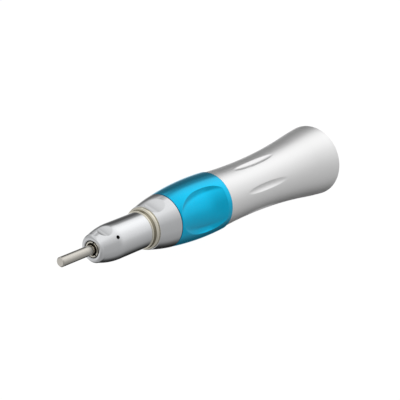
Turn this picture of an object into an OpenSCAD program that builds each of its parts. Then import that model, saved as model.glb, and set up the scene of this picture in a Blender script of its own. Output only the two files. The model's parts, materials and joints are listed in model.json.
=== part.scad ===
// Straight 1:1 dental handpiece with a twist-grip chuck, for 2.35 mm shanks.
// The axis lies along X. The mouth of the motor socket is at X = 0 and the nose
// points to -X. Inside the modules every height h runs from the mouth to the nose.

/* [Section lengths] */
// Length of the rear housing, from its rim to the grip ring
housing_len = 44.3; // [42:0.1:50]
// Length of the blue grip ring
grip_len = 18.1; // [17:0.1:21]
// Length of the front casing
casing_len = 6.25; // [5.5:0.05:8]
// Length of the seat ring that the nose cap screws down on
seat_len = 1.9; // [1.4:0.05:3]
// Length of the nose cap
cap_len = 16; // [15:0.1:19]
// How far the shank stands out of the nose
pin_out = 9.8; // [6:0.1:16]
// Running gap at each end of the grip ring
end_gap = 0.1; // [0.05:0.01:0.2]

/* [Fits] */
// Radial gap of pieces that are screwed or pressed together
fixed_fit = 0.02; // [0.01:0.005:0.04]
// Radial gap of pieces that slide or turn on each other
running_fit = 0.05; // [0.02:0.01:0.08]

/* [Rear housing] */
// Outer radius at the rim
rim_r = 9.55; // [9.4:0.01:10.5]
// Wall round the inner frame at the waist
waist_wall = 1.26; // [1.18:0.01:1.8]
// Height of the waist above the rim
waist_h = 32.6; // [28:0.1:36]
// Height at which the hollow waist turns over into the round flare
flare_h = 7.8; // [7:0.05:12]
// Chamfer on the rim's outer edge
rim_chamfer = 0.25; // [0.1:0.05:0.5]
// Number of leaf grooves round the waist
leaf_count = 6; // [3:1:8]
// Height of the middle of the leaf grooves
leaf_h = 30; // [27:0.1:32]
// Depth of a leaf groove at its middle
leaf_depth = 0.38; // [0.2:0.02:0.5]
// Radius of the round section of a leaf groove
leaf_section_r = 1.46; // [1.2:0.02:2]
// Radius of the wheel that grinds a leaf groove
leaf_wheel_r = 54; // [40:1:70]

/* [Motor socket] */
// Radius of the counterbore that centres the motor's front collar
collar_bore_r = 8.2; // [8:0.05:8.4]
// Depth of that counterbore
collar_bore_len = 3; // [2.5:0.1:3.5]
// Radius of the recess behind the counterbore
recess_r = 7.4; // [7.2:0.05:7.6]
// Depth of that recess below the counterbore
recess_len = 2.5; // [2:0.1:3]
// Radius of the socket bore
socket_r = 4.75; // [4.6:0.01:4.9]
// Wall of the sleeve that lines the socket
sleeve_wall = 0.83; // [0.7:0.01:0.9]
// Depth of the clip groove's lower edge below the mouth
clip_h = 18; // [16:0.1:18.5]
// Width of the clip groove
clip_w = 1.2; // [1:0.1:1.5]
// Depth of the clip groove
clip_depth = 0.4; // [0.3:0.05:0.5]
// Thickness of the flange that closes the sleeve
sleeve_flange = 1.6; // [1:0.1:2]
// Radius of the pin that stops the handpiece turning on the motor
index_pin_r = 0.7; // [0.5:0.05:0.8]
// Distance of that pin from the axis
index_pin_at = 6.5; // [6.4:0.05:6.6]
// How far that pin stands out into the recess
index_pin_out = 1.9; // [1.5:0.1:2.2]

/* [Inner frame] */
// Outer radius of the frame inside the grip ring and the housing
frame_r = 5.6; // [5.5:0.01:5.7]
// Length of the frame's tail inside the rear housing
frame_tail = 11.1; // [10.6:0.1:12]
// Bore radius of the frame round the collar and the rear bearing
frame_bore_r = 4.6; // [4.5:0.01:4.7]
// Bore radius of the frame round the chuck spring
spring_bore_r = 3.6; // [3.5:0.05:3.7]
// Bore radius of the frame's front spigot
spigot_bore_r = 2.7; // [2.65:0.01:2.85]
// Outer radius of the frame inside the front casing
casing_seat_r = 4.78; // [4.6:0.01:4.85]
// Outer radius of the frame inside the seat ring
ring_seat_r = 4.15; // [4.05:0.01:4.25]
// Thickness of the partition between frame and motor socket
partition = 3.6; // [3:0.1:4.5]

/* [Front casing and seat ring] */
// Outer radius of the casing at the grip ring
casing_r0 = 6.62; // [6.5:0.01:6.8]
// Outer radius of the casing at the seat ring
casing_r1 = 5.3; // [5.2:0.01:5.5]
// Radius of the casing's slightly full curve
casing_arc = 45; // [30:1:90]
// Chamfer on the casing's edges
casing_chamfer = 0.12; // [0.05:0.01:0.2]
// Largest radius of the seat ring's round lip
lip_r = 5.14; // [5.05:0.01:5.25]
// Section radius of that lip
lip_section_r = 0.3; // [0.2:0.02:0.4]
// Width of the relief between the casing and that lip
seat_relief = 0.12; // [0.05:0.01:0.3]
// Radius of the seat ring's hollow between lip and bead
seat_waist_r = 4.6; // [4.52:0.01:4.7]
// Largest radius of the seat ring's bead beside the nose cap
bead_r = 4.66; // [4.6:0.01:4.8]
// Section radius of that bead
bead_section_r = 0.15; // [0.1:0.01:0.25]
// Radius of the seat ring where it meets the nose cap
seat_r = 4.52; // [4.45:0.01:4.6]
// Distance of the casing's spanner flats from the axis
casing_flat = 5.12; // [5.05:0.01:5.2]
// Radius of the wheel that grinds the casing's flats
casing_wheel_r = 9.3; // [8:0.1:11]

/* [Nose cap] */
// Radius of the cap's straight part
cap_r = 4.42; // [4.35:0.01:4.6]
// Radius of the ogive curve
ogive_arc = 19; // [17:0.5:24]
// Length of the ogive
ogive_len = 7.15; // [6.5:0.05:8]
// Radius of the opening in the nose
mouth_r = 2.08; // [2.03:0.01:2.2]
// Thickness of the cap's front wall
mouth_len = 2.15; // [1.8:0.05:2.5]
// Length of the chamber for the spindle's nose
chamber_len = 3.1; // [2.8:0.05:3.6]
// Chamfer round the opening
mouth_chamfer = 0.2; // [0.1:0.02:0.3]
// Distance of the cap's scooped flats from the axis
cap_flat = 3.6; // [3.5:0.01:3.75]
// Radius of the wheel that grinds the cap's flats
cap_wheel_r = 5.9; // [5:0.1:7]
// Distance of the flats' deepest line from the cap's front
cap_flat_back = 2.45; // [2:0.05:2.8]
// Radius of the blind spanner hole in the cap
spanner_r = 0.45; // [0.3:0.05:0.5]
// Distance of the spanner hole from the cap's front
spanner_back = 5.1; // [4.6:0.05:5.6]
// Depth of the spanner hole
spanner_depth = 0.65; // [0.4:0.05:0.7]

/* [Grip ring] */
// Wall of the grip ring round the cam sleeve, at its largest radius
grip_wall = 1.52; // [1.46:0.01:1.8]
// Height of that largest radius above the ring's rear edge
grip_peak = 4.2; // [3:0.1:6]
// Radius of the ring's full curve along the axis
grip_arc = 92.5; // [85:0.5:110]
// Chamfer on the ring's edges
grip_chamfer = 0.16; // [0.08:0.02:0.25]
// Number of finger pockets
pocket_count = 2; // [2:1:3]
// Depth of a finger pocket at its middle
pocket_depth = 0.95; // [0.5:0.05:1]
// Half of the angle that a finger pocket spans at its widest
pocket_half_angle = 45; // [35:1:48]
// Distance of a pocket's rear end from the ring's rear edge
pocket_rear = 1.6; // [1.2:0.1:3]
// Distance of a pocket's front end from the ring's front edge
pocket_front = 0.5; // [0.4:0.1:2]
// Distance of a pocket's widest line from the ring's rear edge
pocket_wide = 9.7; // [8:0.1:12]
// Radius of the wheel that shapes a pocket's sides
pocket_wheel_r = 25; // [20:1:45]
// Radius of that wheel's rounded edges
pocket_edge_r = 1.6; // [1:0.1:1.8]
// Angle by which a pocket's sides are steeper at their edge than the wheel's face
pocket_lean = 20; // [5:1:30]
// Angle of the first pocket's middle from the top, towards -Y
pocket_angle = 77; // [60:1:90]
// Angle of the flats, the leaf grooves and the collet's slots from the top, towards -Y
land_angle = 17; // [0:1:60]
// Angle of the spanner hole from the top, towards -Y
spanner_angle = 57; // [40:1:90]

/* [Twist chuck] */
// Angle that the grip ring turns to open the chuck
twist_angle = 40; // [30:1:45]
// Travel of the cam collar over that angle
cam_travel = 1.6; // [1.3:0.05:1.8]
// Travel of the collet over that angle
collet_travel = 1.15; // [0.9:0.05:1.25]
// Gap between collar and thrust ring while the chuck is closed
thrust_gap = 0.5; // [0.5:0.05:0.8]
// Height of the cam pins above the grip ring's rear edge
cam_pin_up = 4.6; // [4.2:0.1:5.5]
// Radius of a cam pin
cam_pin_r = 0.7; // [0.6:0.02:0.75]
// Number of cam pins
cam_pin_count = 3; // [2:1:3]
// Gap round a cam pin in its slots
cam_pin_gap = 0.08; // [0.06:0.01:0.12]
// Length of the cam collar
collar_len = 4.7; // [4:0.1:5]
// Bore radius of the cam collar
collar_bore = 2.4; // [2.3:0.05:2.7]
// Wall of the cam sleeve
cam_sleeve_wall = 0.47; // [0.45:0.01:0.6]
// Length of the cam sleeve
cam_sleeve_len = 13.4; // [12:0.1:14]
// Length of the thrust ring
thrust_len = 2.5; // [2:0.1:3]
// Outer radius of the thrust ring
thrust_r = 3.9; // [3.5:0.05:4.2]
// Radius of the cross pin that pulls the collet
cross_pin_r = 0.5; // [0.4:0.02:0.6]
// Length of the chuck spring while the chuck is closed
chuck_spring_len = 8; // [7:0.1:8.5]
// Wire radius of the chuck spring
chuck_wire_r = 0.3; // [0.25:0.01:0.35]
// Turns of the chuck spring
chuck_turns = 6; // [5:1:7]

/* [Spindle and collet] */
// Radius of the shank that the chuck holds
shank_r = 1.175; // [1.1:0.005:1.2]
// Chamfer on the shank's end
shank_chamfer = 0.22; // [0.1:0.02:0.3]
// Radial gap between shank and collet
shank_fit = 0.01; // [0.005:0.005:0.02]
// Outer radius of the spindle
spindle_r = 2; // [1.95:0.01:2.05]
// Outer radius of the spindle's nose
spindle_nose_r = 2.6; // [2.5:0.02:2.65]
// Outer radius of the collet's body
collet_r = 1.5; // [1.45:0.01:1.55]
// Outer radius of the collet's head
collet_head_r = 1.85; // [1.8:0.01:1.9]
// How far the collet's face lies behind the cap's face
collet_recess = 0.25; // [0:0.05:0.5]
// Length of the straight part of the collet's head
collet_head_len = 2.3; // [1.8:0.1:2.5]
// Length of the collet's closing cone
collet_cone_len = 2.8; // [2.4:0.1:3.2]
// Number of slots that let the collet close
collet_slot_count = 3; // [3:1:4]
// Width of the collet's slots
collet_slot_w = 0.35; // [0.25:0.05:0.45]
// Length of the collet's slots
collet_slot_len = 16; // [12:0.5:18]

/* [Ball bearings] */
// Outer radius of the front and middle bearings
front_race_r = 3.48; // [3.4:0.01:3.5]
// Width of the front and middle bearings
front_race_w = 2; // [1.8:0.05:2.2]
// Ball radius of the front and middle bearings
front_ball_r = 0.48; // [0.42:0.01:0.5]
// Number of balls in the front and middle bearings
front_balls_n = 8; // [6:1:9]
// Space between the front and the middle bearing
front_race_space = 1.4; // [1:0.1:2]
// Width of the rear bearing
rear_race_w = 2.9; // [2.5:0.05:3]
// Ball radius of the rear bearing
rear_ball_r = 0.75; // [0.65:0.01:0.8]
// Number of balls in the rear bearing
rear_balls_n = 9; // [7:1:9]
// Gap between a ball and what it runs in
ball_gap = 0.03; // [0.02:0.005:0.04]
// Thickness of the washer that preloads the rear bearing
washer_t = 0.65; // [0.5:0.05:0.8]
// Thickness of the nut that holds the rear bearing
nut_t = 1.9; // [1.6:0.1:2.2]

/* [Drive dog] */
// Outer radius of the drive dog
dog_r = 2.5; // [2.3:0.05:2.6]
// Length of the drive dog
dog_len = 10.4; // [9.5:0.1:11]
// Width of the slot across the dog's end
dog_slot_w = 1.6; // [1.4:0.05:1.8]
// Depth of that slot
dog_slot_depth = 2.6; // [2:0.1:3]
// How far the dog can be pushed in
dog_stroke = 1.5; // [1:0.1:1.6]
// Width of the square tail that drives through the dog
tail_w = 2.2; // [2:0.05:2.3]
// Radius of the pin that keeps the dog on the tail
dog_pin_r = 0.4; // [0.3:0.02:0.5]
// Wire radius of the dog spring
dog_wire_r = 0.22; // [0.18:0.01:0.25]
// Turns of the dog spring
dog_turns = 5; // [4:1:7]

/* [Hidden] */

$fn = 96;
arc_fn = 720;
eps = 0.01;
spacer_gap = 0.2;

// How far a cutter runs past the piece that it cuts
past = 1;

// Stations along the axis, as heights above the mouth
grip_h0 = housing_len + end_gap;
grip_h1 = grip_h0 + grip_len;
casing_h0 = grip_h1 + end_gap;
casing_h1 = casing_h0 + casing_len;
seat_h1 = casing_h1 + seat_len;
cap_h1 = seat_h1 + cap_len;
shank_h1 = cap_h1 + pin_out;

// Rear housing
waist_r = frame_r + fixed_fit + waist_wall;

// Motor socket
recess_h = collar_bore_len + recess_len;
frame_h0 = housing_len - frame_tail;
sleeve_h1 = frame_h0 - partition;
sleeve_r = socket_r + sleeve_wall;
lead_in = 0.4;
dog_room = 0.4;
partition_room = 0.7;
dog_through_r = dog_r + dog_room;
partition_bore_r = dog_r + partition_room;
index_pin_sunk = 2.5;

// Front bearings, placed from the cap's front
chamber_h1 = cap_h1 - mouth_len;
front_race_h1 = chamber_h1 - chamber_len;
front_race_h0 = front_race_h1 - front_race_w;
middle_race_h1 = front_race_h0 - front_race_space;
middle_race_h0 = middle_race_h1 - front_race_w;
frame_h1 = middle_race_h0;
cap_bore_r = front_race_r + fixed_fit;
nose_room = 0.15;
chamber_r = spindle_nose_r + nose_room;

// Rear bearing, placed from the frame's rear end
rear_race_r = frame_bore_r - fixed_fit;
nut_h0 = frame_h0 + spacer_gap;
nut_h1 = nut_h0 + nut_t;
washer_h1 = nut_h1 + washer_t;
rear_race_h1 = washer_h1 + rear_race_w;
nut_room = 0.6;
nut_slot_w = 1;
nut_slot_depth = 0.8;
clear_bore_r = spindle_r + nut_room;

// Walls of the pieces that space and preload the bearings
outer_spacer_wall = 0.4;
inner_spacer_wall = 0.35;
rear_spacer_wall = 0.7;
washer_rim = 0.9;

// Shares of the ball's radius: how far a race reaches over the balls, and the cage's sizes
race_lap_share = 0.3;
cage_w_share = 2.7;
cage_wall_share = 0.36;

// A bearing is [bore radius, outer radius, width, ball radius, number of balls]
front_bearing = [spindle_r + fixed_fit / 2, front_race_r, front_race_w, front_ball_r, front_balls_n];
rear_bearing = [spindle_r + fixed_fit / 2, rear_race_r, rear_race_w, rear_ball_r, rear_balls_n];

// Twist chuck, placed from the grip ring's rear edge
cam_pin_h = grip_h0 + cam_pin_up;
collar_h0 = cam_pin_h - collar_len / 2;
collar_h1 = collar_h0 + collar_len;
collar_r = frame_bore_r - running_fit;
thrust_h0 = collar_h1 + thrust_gap;
thrust_h1 = thrust_h0 + thrust_len;
cross_pin_h = thrust_h0 + thrust_len / 2;
chuck_spring_h0 = thrust_h1 + fixed_fit;
chuck_spring_h1 = chuck_spring_h0 + chuck_spring_len;
spring_seat_t = 0.8;
seat_washer_h1 = chuck_spring_h1 + fixed_fit + spring_seat_t;
cam_bore_r = frame_r + running_fit;
cam_sleeve_r = cam_bore_r + cam_sleeve_wall;
grip_r = cam_sleeve_r + fixed_fit + grip_wall;
cam_sleeve_h0 = grip_h0 + spacer_gap;
cam_sleeve_h1 = cam_sleeve_h0 + cam_sleeve_len;
cam_steps = 10;
slot_r = cam_pin_r + cam_pin_gap;
cam_pin_seat = 0.9;
cam_pin_sunk = 0.1;
cam_pin_from = collar_bore + cam_pin_seat;
cross_pin_sunk = 0.3;
spring_room = 0.15;
spring_seat_room = 0.2;
thrust_room = 1.5;
spigot_wall = 1;
big_bore_h1 = thrust_h1 + collet_travel + thrust_room;
spring_bore_h1 = seat_h1 - spigot_wall;

// Spindle, collet and shank
tail_shoulder_up = 1.6;
tail_shoulder = nut_h0 + tail_shoulder_up;
collet_behind_pin = 1.2;
bore_run_out = 1.5;
collet_h0 = thrust_h0 - collet_behind_pin;
spindle_bore_r = collet_r + running_fit;
spindle_bore_h0 = collet_h0 - bore_run_out;
collet_h1 = cap_h1 - collet_recess;
collet_cone_h1 = collet_h1 - collet_head_len;
collet_cone_h0 = collet_cone_h1 - collet_cone_len;
spindle_h1 = chamber_h1 - spacer_gap;
collet_web = 2.2;
collet_flare = 0.35;
collet_flare_len = 0.5;
collet_bore_r = shank_r + shank_fit;
collet_bore_h0 = thrust_h1 + collet_web;
shank_end_gap = 0.3;
shank_h0 = collet_bore_h0 + shank_end_gap;
circlip_t = 0.5;
circlip_gap = 1.2;
circlip_out = 0.6;
circlip_in = 0.15;
circlip_r = spindle_r + circlip_out;
circlip_groove_r = spindle_r - circlip_in;

// Drive dog, placed from the clip groove
tail_gap = 0.04;
tail_clear = 0.2;
clip_wall = 0.8;
dog_floor = 0.3;
dog_pin_up = 2.6;
dog_pin_sunk = 0.1;
dog_bore_step = 0.22;
dog_spring_room = 0.13;
dog_h0 = clip_h + clip_w + clip_wall;
dog_h1 = dog_h0 + dog_len;
tail_h0 = dog_h0 + dog_slot_depth + dog_floor + dog_stroke + tail_clear;
dog_pin_h = tail_h0 + dog_pin_up;
dog_bore_r = tail_w / 2 - dog_bore_step;
tail_corner_r = tail_w / sqrt(2);

// O-rings, and the widths and depths of their grooves as shares of the section's radius
grip_o_ring_section = 0.4;
grip_o_ring_back = 2.1;
grip_o_ring_h = grip_h1 - grip_o_ring_back;
nose_o_ring_section = 0.25;
nose_o_ring_up = 1.6;
nose_o_ring_h = seat_h1 + nose_o_ring_up;
groove_w_share = 2.4;
groove_depth_share = 2.1;

// Colours
chrome_tone = [0.82, 0.83, 0.85];
satin_tone = [0.74, 0.75, 0.77];
nickel_tone = [0.80, 0.77, 0.69];
grip_tone = [0.10, 0.60, 0.84];
steel_tone = [0.66, 0.67, 0.70];
brass_tone = [0.80, 0.66, 0.36];
rubber_tone = [0.10, 0.10, 0.11];
cage_tone = [0.55, 0.40, 0.20];
spring_tone = [0.50, 0.52, 0.56];

// ---- Helpers ----

// Lays the upright model down, so that heights run towards -X and +X turns up to +Z
module lay() {
    rotate([0, -90, 0])
        children();
}

// Turns its children to an angle measured from the top towards -Y
module at_angle(a) {
    rotate([0, 0, -a])
        children();
}

// Repeats its children n times round the axis
module around(n) {
    for (k = [0 : n - 1])
        rotate([0, 0, k * 360 / n])
            children();
}

// A straight round bar between two heights
module bar(r, h0, h1) {
    translate([0, 0, h0])
        cylinder(r = r, h = h1 - h0);
}

// A cone between two heights
module taper(r0, r1, h0, h1) {
    translate([0, 0, h0])
        cylinder(r1 = r0, r2 = r1, h = h1 - h0);
}

// A straight tube between two heights
module tube(r_out, r_in, h0, h1) {
    difference() {
        bar(r_out, h0, h1);
        bar(r_in, h0 - eps, h1 + eps);
    }
}

// A ring of round section
module torus(ring_r, section_r, h) {
    translate([0, 0, h])
        rotate_extrude()
            translate([ring_r, 0])
                circle(r = section_r, $fn = 48);
}

// A wheel whose axle lies across the handpiece, at a distance from the axis
module wheel(r, at, h, w) {
    translate([at + r, 0, h])
        rotate([90, 0, 0])
            cylinder(r = r, h = w, center = true, $fn = arc_fn);
}

// Centre of the arc of radius r from a to b, on the side of the axis
function arc_centre(a, b, r) =
    let (mid = (a + b) / 2, half = norm(b - a) / 2, n = [a[1] - b[1], b[0] - a[0]] / norm(b - a))
    let (side = n[0] < 0 ? n : -n)
    mid + side * sqrt(r * r - half * half);

// A close-coiled spring wire swept along a helix, its ends ground flat by two cuts
module coil(ring_r, wire_r, turns, h0, h1) {
    steps = 18;
    sides = 6;
    rings = turns * steps;
    rise = (h1 - h0 - 2 * wire_r) / rings;
    points = [
        for (i = [0 : rings], k = [0 : sides - 1])
            let (a = i * 360 / steps, b = k * 360 / sides, d = ring_r + wire_r * cos(b))
            [d * cos(a), d * sin(a), h0 + wire_r + i * rise + wire_r * sin(b)]
    ];
    sheets = [
        for (i = [0 : rings - 1], k = [0 : sides - 1])
            let (n = (k + 1) % sides)
            [i * sides + k, (i + 1) * sides + k, (i + 1) * sides + n, i * sides + n]
    ];
    first = [for (k = [0 : sides - 1]) k];
    last = [for (k = [sides - 1 : -1 : 0]) rings * sides + k];
    polyhedron(points = points, faces = concat([first], sheets, [last]), convexity = 8);
}

// ---- Ball bearing pieces, for a bearing b standing on height h ----

function pitch_r(b) = (b[0] + b[1]) / 2;
function track_r(b) = b[3] + ball_gap;
function race_lap(b) = b[3] * race_lap_share;

// The two races together leave this much of each ball uncovered
module outer_race_body(b, h) {
    difference() {
        tube(b[1], pitch_r(b) + b[3] - race_lap(b), h, h + b[2]);
        torus(pitch_r(b), track_r(b), h + b[2] / 2);
    }
}

module inner_race_body(b, h) {
    difference() {
        tube(pitch_r(b) - b[3] + race_lap(b), b[0], h, h + b[2]);
        torus(pitch_r(b), track_r(b), h + b[2] / 2);
    }
}

module cage_body(b, h) {
    cage_w = cage_w_share * b[3];
    cage_wall = cage_wall_share * b[3];
    difference() {
        tube(pitch_r(b) + cage_wall, pitch_r(b) - cage_wall,
             h + (b[2] - cage_w) / 2, h + (b[2] + cage_w) / 2);
        around(b[4])
            translate([pitch_r(b) - b[3], 0, h + b[2] / 2])
                rotate([0, 90, 0])
                    cylinder(r = track_r(b), h = 2 * b[3]);
    }
}

module ball_set(b, h) {
    around(b[4])
        translate([pitch_r(b), 0, h + b[2] / 2])
            sphere(r = b[3], $fn = 32);
}

// ---- Casing ----

// The housing's outline is an S of two equal arcs: a hollow waist that turns over into a
// round flare. s_rise is how far such an S of radius rho widens from the waist to the rim.
waist_drop = waist_h - flare_h;
flare_drop = waist_h - 2 * flare_h;
function s_rise(rho) = rho - 2 * sqrt(rho * rho - waist_drop * waist_drop)
    + sqrt(rho * rho - flare_drop * flare_drop);
function s_radius(rho, steps) =
    steps == 0 ? rho : s_radius(rho * s_rise(rho) / (rim_r - waist_r), steps - 1);
s_arc = s_radius((waist_drop * waist_drop - flare_drop * flare_drop / 2) / (rim_r - waist_r), 6);
waist_centre = [waist_r + s_arc, waist_h];
flare_centre = waist_centre - [2 * sqrt(s_arc * s_arc - waist_drop * waist_drop), 2 * waist_drop];

module housing_outline() {
    far = rim_r + past;
    intersection() {
        translate(flare_centre)
            circle(r = s_arc, $fn = arc_fn);
        polygon([[0, 0], [rim_r - rim_chamfer, 0], [far, past + rim_chamfer], [far, flare_h], [0, flare_h]]);
    }
    difference() {
        translate([0, flare_h])
            square([far, housing_len - flare_h]);
        translate(waist_centre)
            circle(r = s_arc, $fn = arc_fn);
    }
}

module leaf_groove() {
    translate([waist_r - leaf_depth + leaf_wheel_r, 0, leaf_h])
        rotate([90, 0, 0])
            rotate_extrude($fn = arc_fn)
                translate([leaf_wheel_r - leaf_section_r, 0])
                    circle(r = leaf_section_r, $fn = 48);
}

module rear_housing() {
    color(satin_tone)
    difference() {
        rotate_extrude()
            housing_outline();
        bar(collar_bore_r, -eps, collar_bore_len);
        bar(recess_r, -eps, recess_h);
        bar(sleeve_r + fixed_fit, -eps, sleeve_h1);
        bar(partition_bore_r, -eps, housing_len + eps);
        bar(frame_r + fixed_fit, frame_h0, housing_len + eps);
        at_angle(land_angle)
            around(leaf_count)
                leaf_groove();
        index_pin_bar(index_pin_r + fixed_fit, recess_h + index_pin_sunk);
    }
}

module motor_sleeve() {
    color(brass_tone)
    difference() {
        bar(sleeve_r, recess_h, sleeve_h1);
        bar(socket_r, recess_h - eps, sleeve_h1 - sleeve_flange);
        bar(socket_r + clip_depth, clip_h, clip_h + clip_w);
        taper(socket_r + lead_in + eps, socket_r, recess_h - eps, recess_h + lead_in);
        bar(dog_through_r, recess_h, sleeve_h1 + eps);
    }
}

// The bar of the index pin, from its tip in the recess up to a height
module index_pin_bar(r, h1) {
    translate([index_pin_at, 0, 0])
        bar(r, recess_h - index_pin_out, h1);
}

module index_pin() {
    color(steel_tone)
        index_pin_bar(index_pin_r, recess_h + index_pin_sunk);
}

module inner_frame() {
    pin_slot = [cam_pin_h - slot_r, cam_pin_h + cam_travel + slot_r];
    color(steel_tone)
    difference() {
        union() {
            bar(frame_r, frame_h0, casing_h0);
            bar(casing_seat_r, casing_h0, casing_h1);
            bar(ring_seat_r, casing_h1, seat_h1);
            bar(cap_bore_r - fixed_fit, seat_h1, frame_h1);
        }
        bar(frame_bore_r, frame_h0 - eps, big_bore_h1);
        bar(spring_bore_r, frame_h0, spring_bore_h1);
        bar(spigot_bore_r, frame_h0, frame_h1 + eps);
        groove(frame_r, grip_o_ring_section, grip_o_ring_h);
        groove(cap_bore_r - fixed_fit, nose_o_ring_section, nose_o_ring_h);
        around(cam_pin_count)
            cam_slot(pin_slot[0], pin_slot[1], slot_r, frame_bore_r - past, frame_r + past);
    }
}

// A straight slot along the axis with round ends, cut from one radius out to another
module cam_slot(h0, h1, r, from_r, to_r) {
    for (h = [h0 + r, h1 - r])
        translate([from_r, 0, h])
            rotate([0, 90, 0])
                cylinder(r = r, h = to_r - from_r);
    translate([from_r, -r, h0 + r])
        cube([to_r - from_r, 2 * r, h1 - h0 - 2 * r]);
}

// A square groove for an O-ring of a section radius in a bar of radius r
module groove(r, section, h) {
    half_w = section * groove_w_share / 2;
    tube(r + past, r - section * groove_depth_share, h - half_w, h + half_w);
}

module grip_o_ring() {
    color(rubber_tone)
        torus(cam_bore_r - fixed_fit - grip_o_ring_section, grip_o_ring_section, grip_o_ring_h);
}

module nose_o_ring() {
    color(rubber_tone)
        torus(cap_bore_r - fixed_fit - nose_o_ring_section, nose_o_ring_section, nose_o_ring_h);
}

module casing_outline() {
    a = [casing_r0, casing_h0];
    b = [casing_r1, casing_h1];
    c = casing_chamfer;
    intersection() {
        polygon([[0, a[1]], [a[0] - c, a[1]], [a[0] + past, a[1] + past + c],
                 [a[0] + past, b[1] - c], [b[0], b[1] - c], [b[0] - c, b[1]], [0, b[1]]]);
        translate(arc_centre(a, b, casing_arc))
            circle(r = casing_arc, $fn = arc_fn);
    }
}

module front_casing() {
    color(chrome_tone)
    difference() {
        rotate_extrude()
            casing_outline();
        bar(casing_seat_r + fixed_fit, casing_h0 - eps, casing_h1 + eps);
        at_angle(land_angle)
            around(2)
                wheel(casing_wheel_r, casing_flat, casing_h1, 4 * casing_r0);
    }
}

module seat_ring() {
    lip_h = casing_h1 + seat_relief + lip_section_r;
    lip_at = lip_r - lip_section_r;
    bead_at = bead_r - bead_section_r;
    bead_h = seat_h1 - sqrt(bead_section_r * bead_section_r - (seat_r - bead_at) * (seat_r - bead_at));
    hollow_h = lip_h + 2 * lip_section_r;
    color(nickel_tone)
    difference() {
        union() {
            bar(bead_at, casing_h1, seat_h1);
            bar(lip_at, casing_h1, lip_h);
            torus(lip_at, lip_section_r, lip_h);
            taper(lip_at, seat_waist_r, lip_h, hollow_h);
            bar(seat_waist_r, hollow_h, bead_h);
            torus(bead_at, bead_section_r, bead_h);
        }
        bar(bead_r + past, seat_h1, seat_h1 + past);
        bar(ring_seat_r + fixed_fit, casing_h1 - eps, seat_h1 + eps);
    }
}

module cap_outline() {
    tangent_h = cap_h1 - ogive_len;
    face_r = cap_r - ogive_arc + sqrt(ogive_arc * ogive_arc - ogive_len * ogive_len);
    c = mouth_chamfer;
    translate([0, seat_h1])
        square([cap_r, tangent_h - seat_h1]);
    intersection() {
        translate([cap_r - ogive_arc, tangent_h])
            circle(r = ogive_arc, $fn = arc_fn);
        polygon([[0, tangent_h], [cap_r, tangent_h], [cap_r, cap_h1 - c - past],
                 [face_r + past, cap_h1 - c - past], [face_r - c, cap_h1], [0, cap_h1]]);
    }
}

module nose_cap() {
    color(chrome_tone)
    difference() {
        rotate_extrude()
            cap_outline();
        bar(cap_bore_r, seat_h1 - eps, front_race_h1);
        bar(chamber_r, seat_h1, chamber_h1);
        bar(mouth_r, seat_h1, cap_h1 + eps);
        taper(mouth_r, mouth_r + mouth_chamfer + eps, cap_h1 - mouth_chamfer, cap_h1 + eps);
        at_angle(land_angle)
            around(2)
                wheel(cap_wheel_r, cap_flat, cap_h1 - cap_flat_back, 4 * cap_r);
        at_angle(spanner_angle)
            translate([cap_r - spanner_depth, 0, cap_h1 - spanner_back])
                rotate([0, 90, 0])
                    cylinder(r = spanner_r, h = spanner_depth + past);
    }
}

// ---- Grip ring and cam ----

// Outer radius of the grip ring's lands at a height
function land_r(h) =
    let (d = h - grip_h0 - grip_peak)
    grip_r - grip_arc + sqrt(grip_arc * grip_arc - d * d);

module grip_outline() {
    c = grip_chamfer;
    r0 = land_r(grip_h0);
    r1 = land_r(grip_h1);
    intersection() {
        translate([grip_r - grip_arc, grip_h0 + grip_peak])
            circle(r = grip_arc, $fn = arc_fn);
        polygon([[0, grip_h0], [r0 - c, grip_h0], [r0 + past, grip_h0 + c + past],
                 [r0 + past, grip_h1 - c - past], [r1 + past, grip_h1 - c - past],
                 [r1 - c, grip_h1], [0, grip_h1]]);
    }
}

// A finger pocket: a wheel with rounded edges shapes its two sides, and its floor is a hollow
// arc from the pocket's rear end to its front end, turned round the handpiece's axis
module grip_pocket() {
    rear = [land_r(grip_h0 + pocket_rear), grip_h0 + pocket_rear];
    front = [land_r(grip_h1 - pocket_front), grip_h1 - pocket_front];
    mid = (rear + front) / 2;
    half = norm(front - rear) / 2;
    sag = pocket_depth - land_r(mid[1]) + mid[0];
    floor_arc = (half * half + sag * sag) / (2 * sag);
    outward = [front[1] - rear[1], rear[0] - front[0]] / (2 * half);
    wide_h = grip_h0 + pocket_wide;
    edge = land_r(wide_h) * [sin(pocket_half_angle), cos(pocket_half_angle)];
    round_at = edge + pocket_edge_r * [-sin(pocket_lean), cos(pocket_lean)];
    intersection() {
        translate([round_at[1] - pocket_edge_r + pocket_wheel_r, 0, wide_h])
            rotate([90, 0, 0])
                rounded_wheel(pocket_wheel_r, pocket_edge_r, round_at[0]);
        rotate_extrude()
            intersection() {
                translate(mid + outward * (floor_arc - sag))
                    circle(r = floor_arc, $fn = arc_fn);
                translate([0, grip_h0])
                    square([grip_r + past, grip_len]);
            }
    }
}

// A wheel round the Z axis whose edges of radius edge_r start at half_w from its middle
module rounded_wheel(r, edge_r, half_w) {
    cylinder(r = r, h = 2 * half_w, center = true, $fn = arc_fn);
    cylinder(r = r - edge_r, h = 2 * (half_w + edge_r), center = true, $fn = arc_fn);
    for (side = [-1, 1])
        rotate_extrude($fn = arc_fn)
            translate([r - edge_r, side * half_w])
                circle(r = edge_r, $fn = 48);
}

module grip_ring() {
    color(grip_tone)
    difference() {
        rotate_extrude()
            grip_outline();
        bar(cam_bore_r, grip_h0 - eps, grip_h1 + eps);
        bar(cam_sleeve_r + fixed_fit, grip_h0 - eps, cam_sleeve_h1);
        at_angle(pocket_angle)
            around(pocket_count)
                grip_pocket();
    }
}

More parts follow.
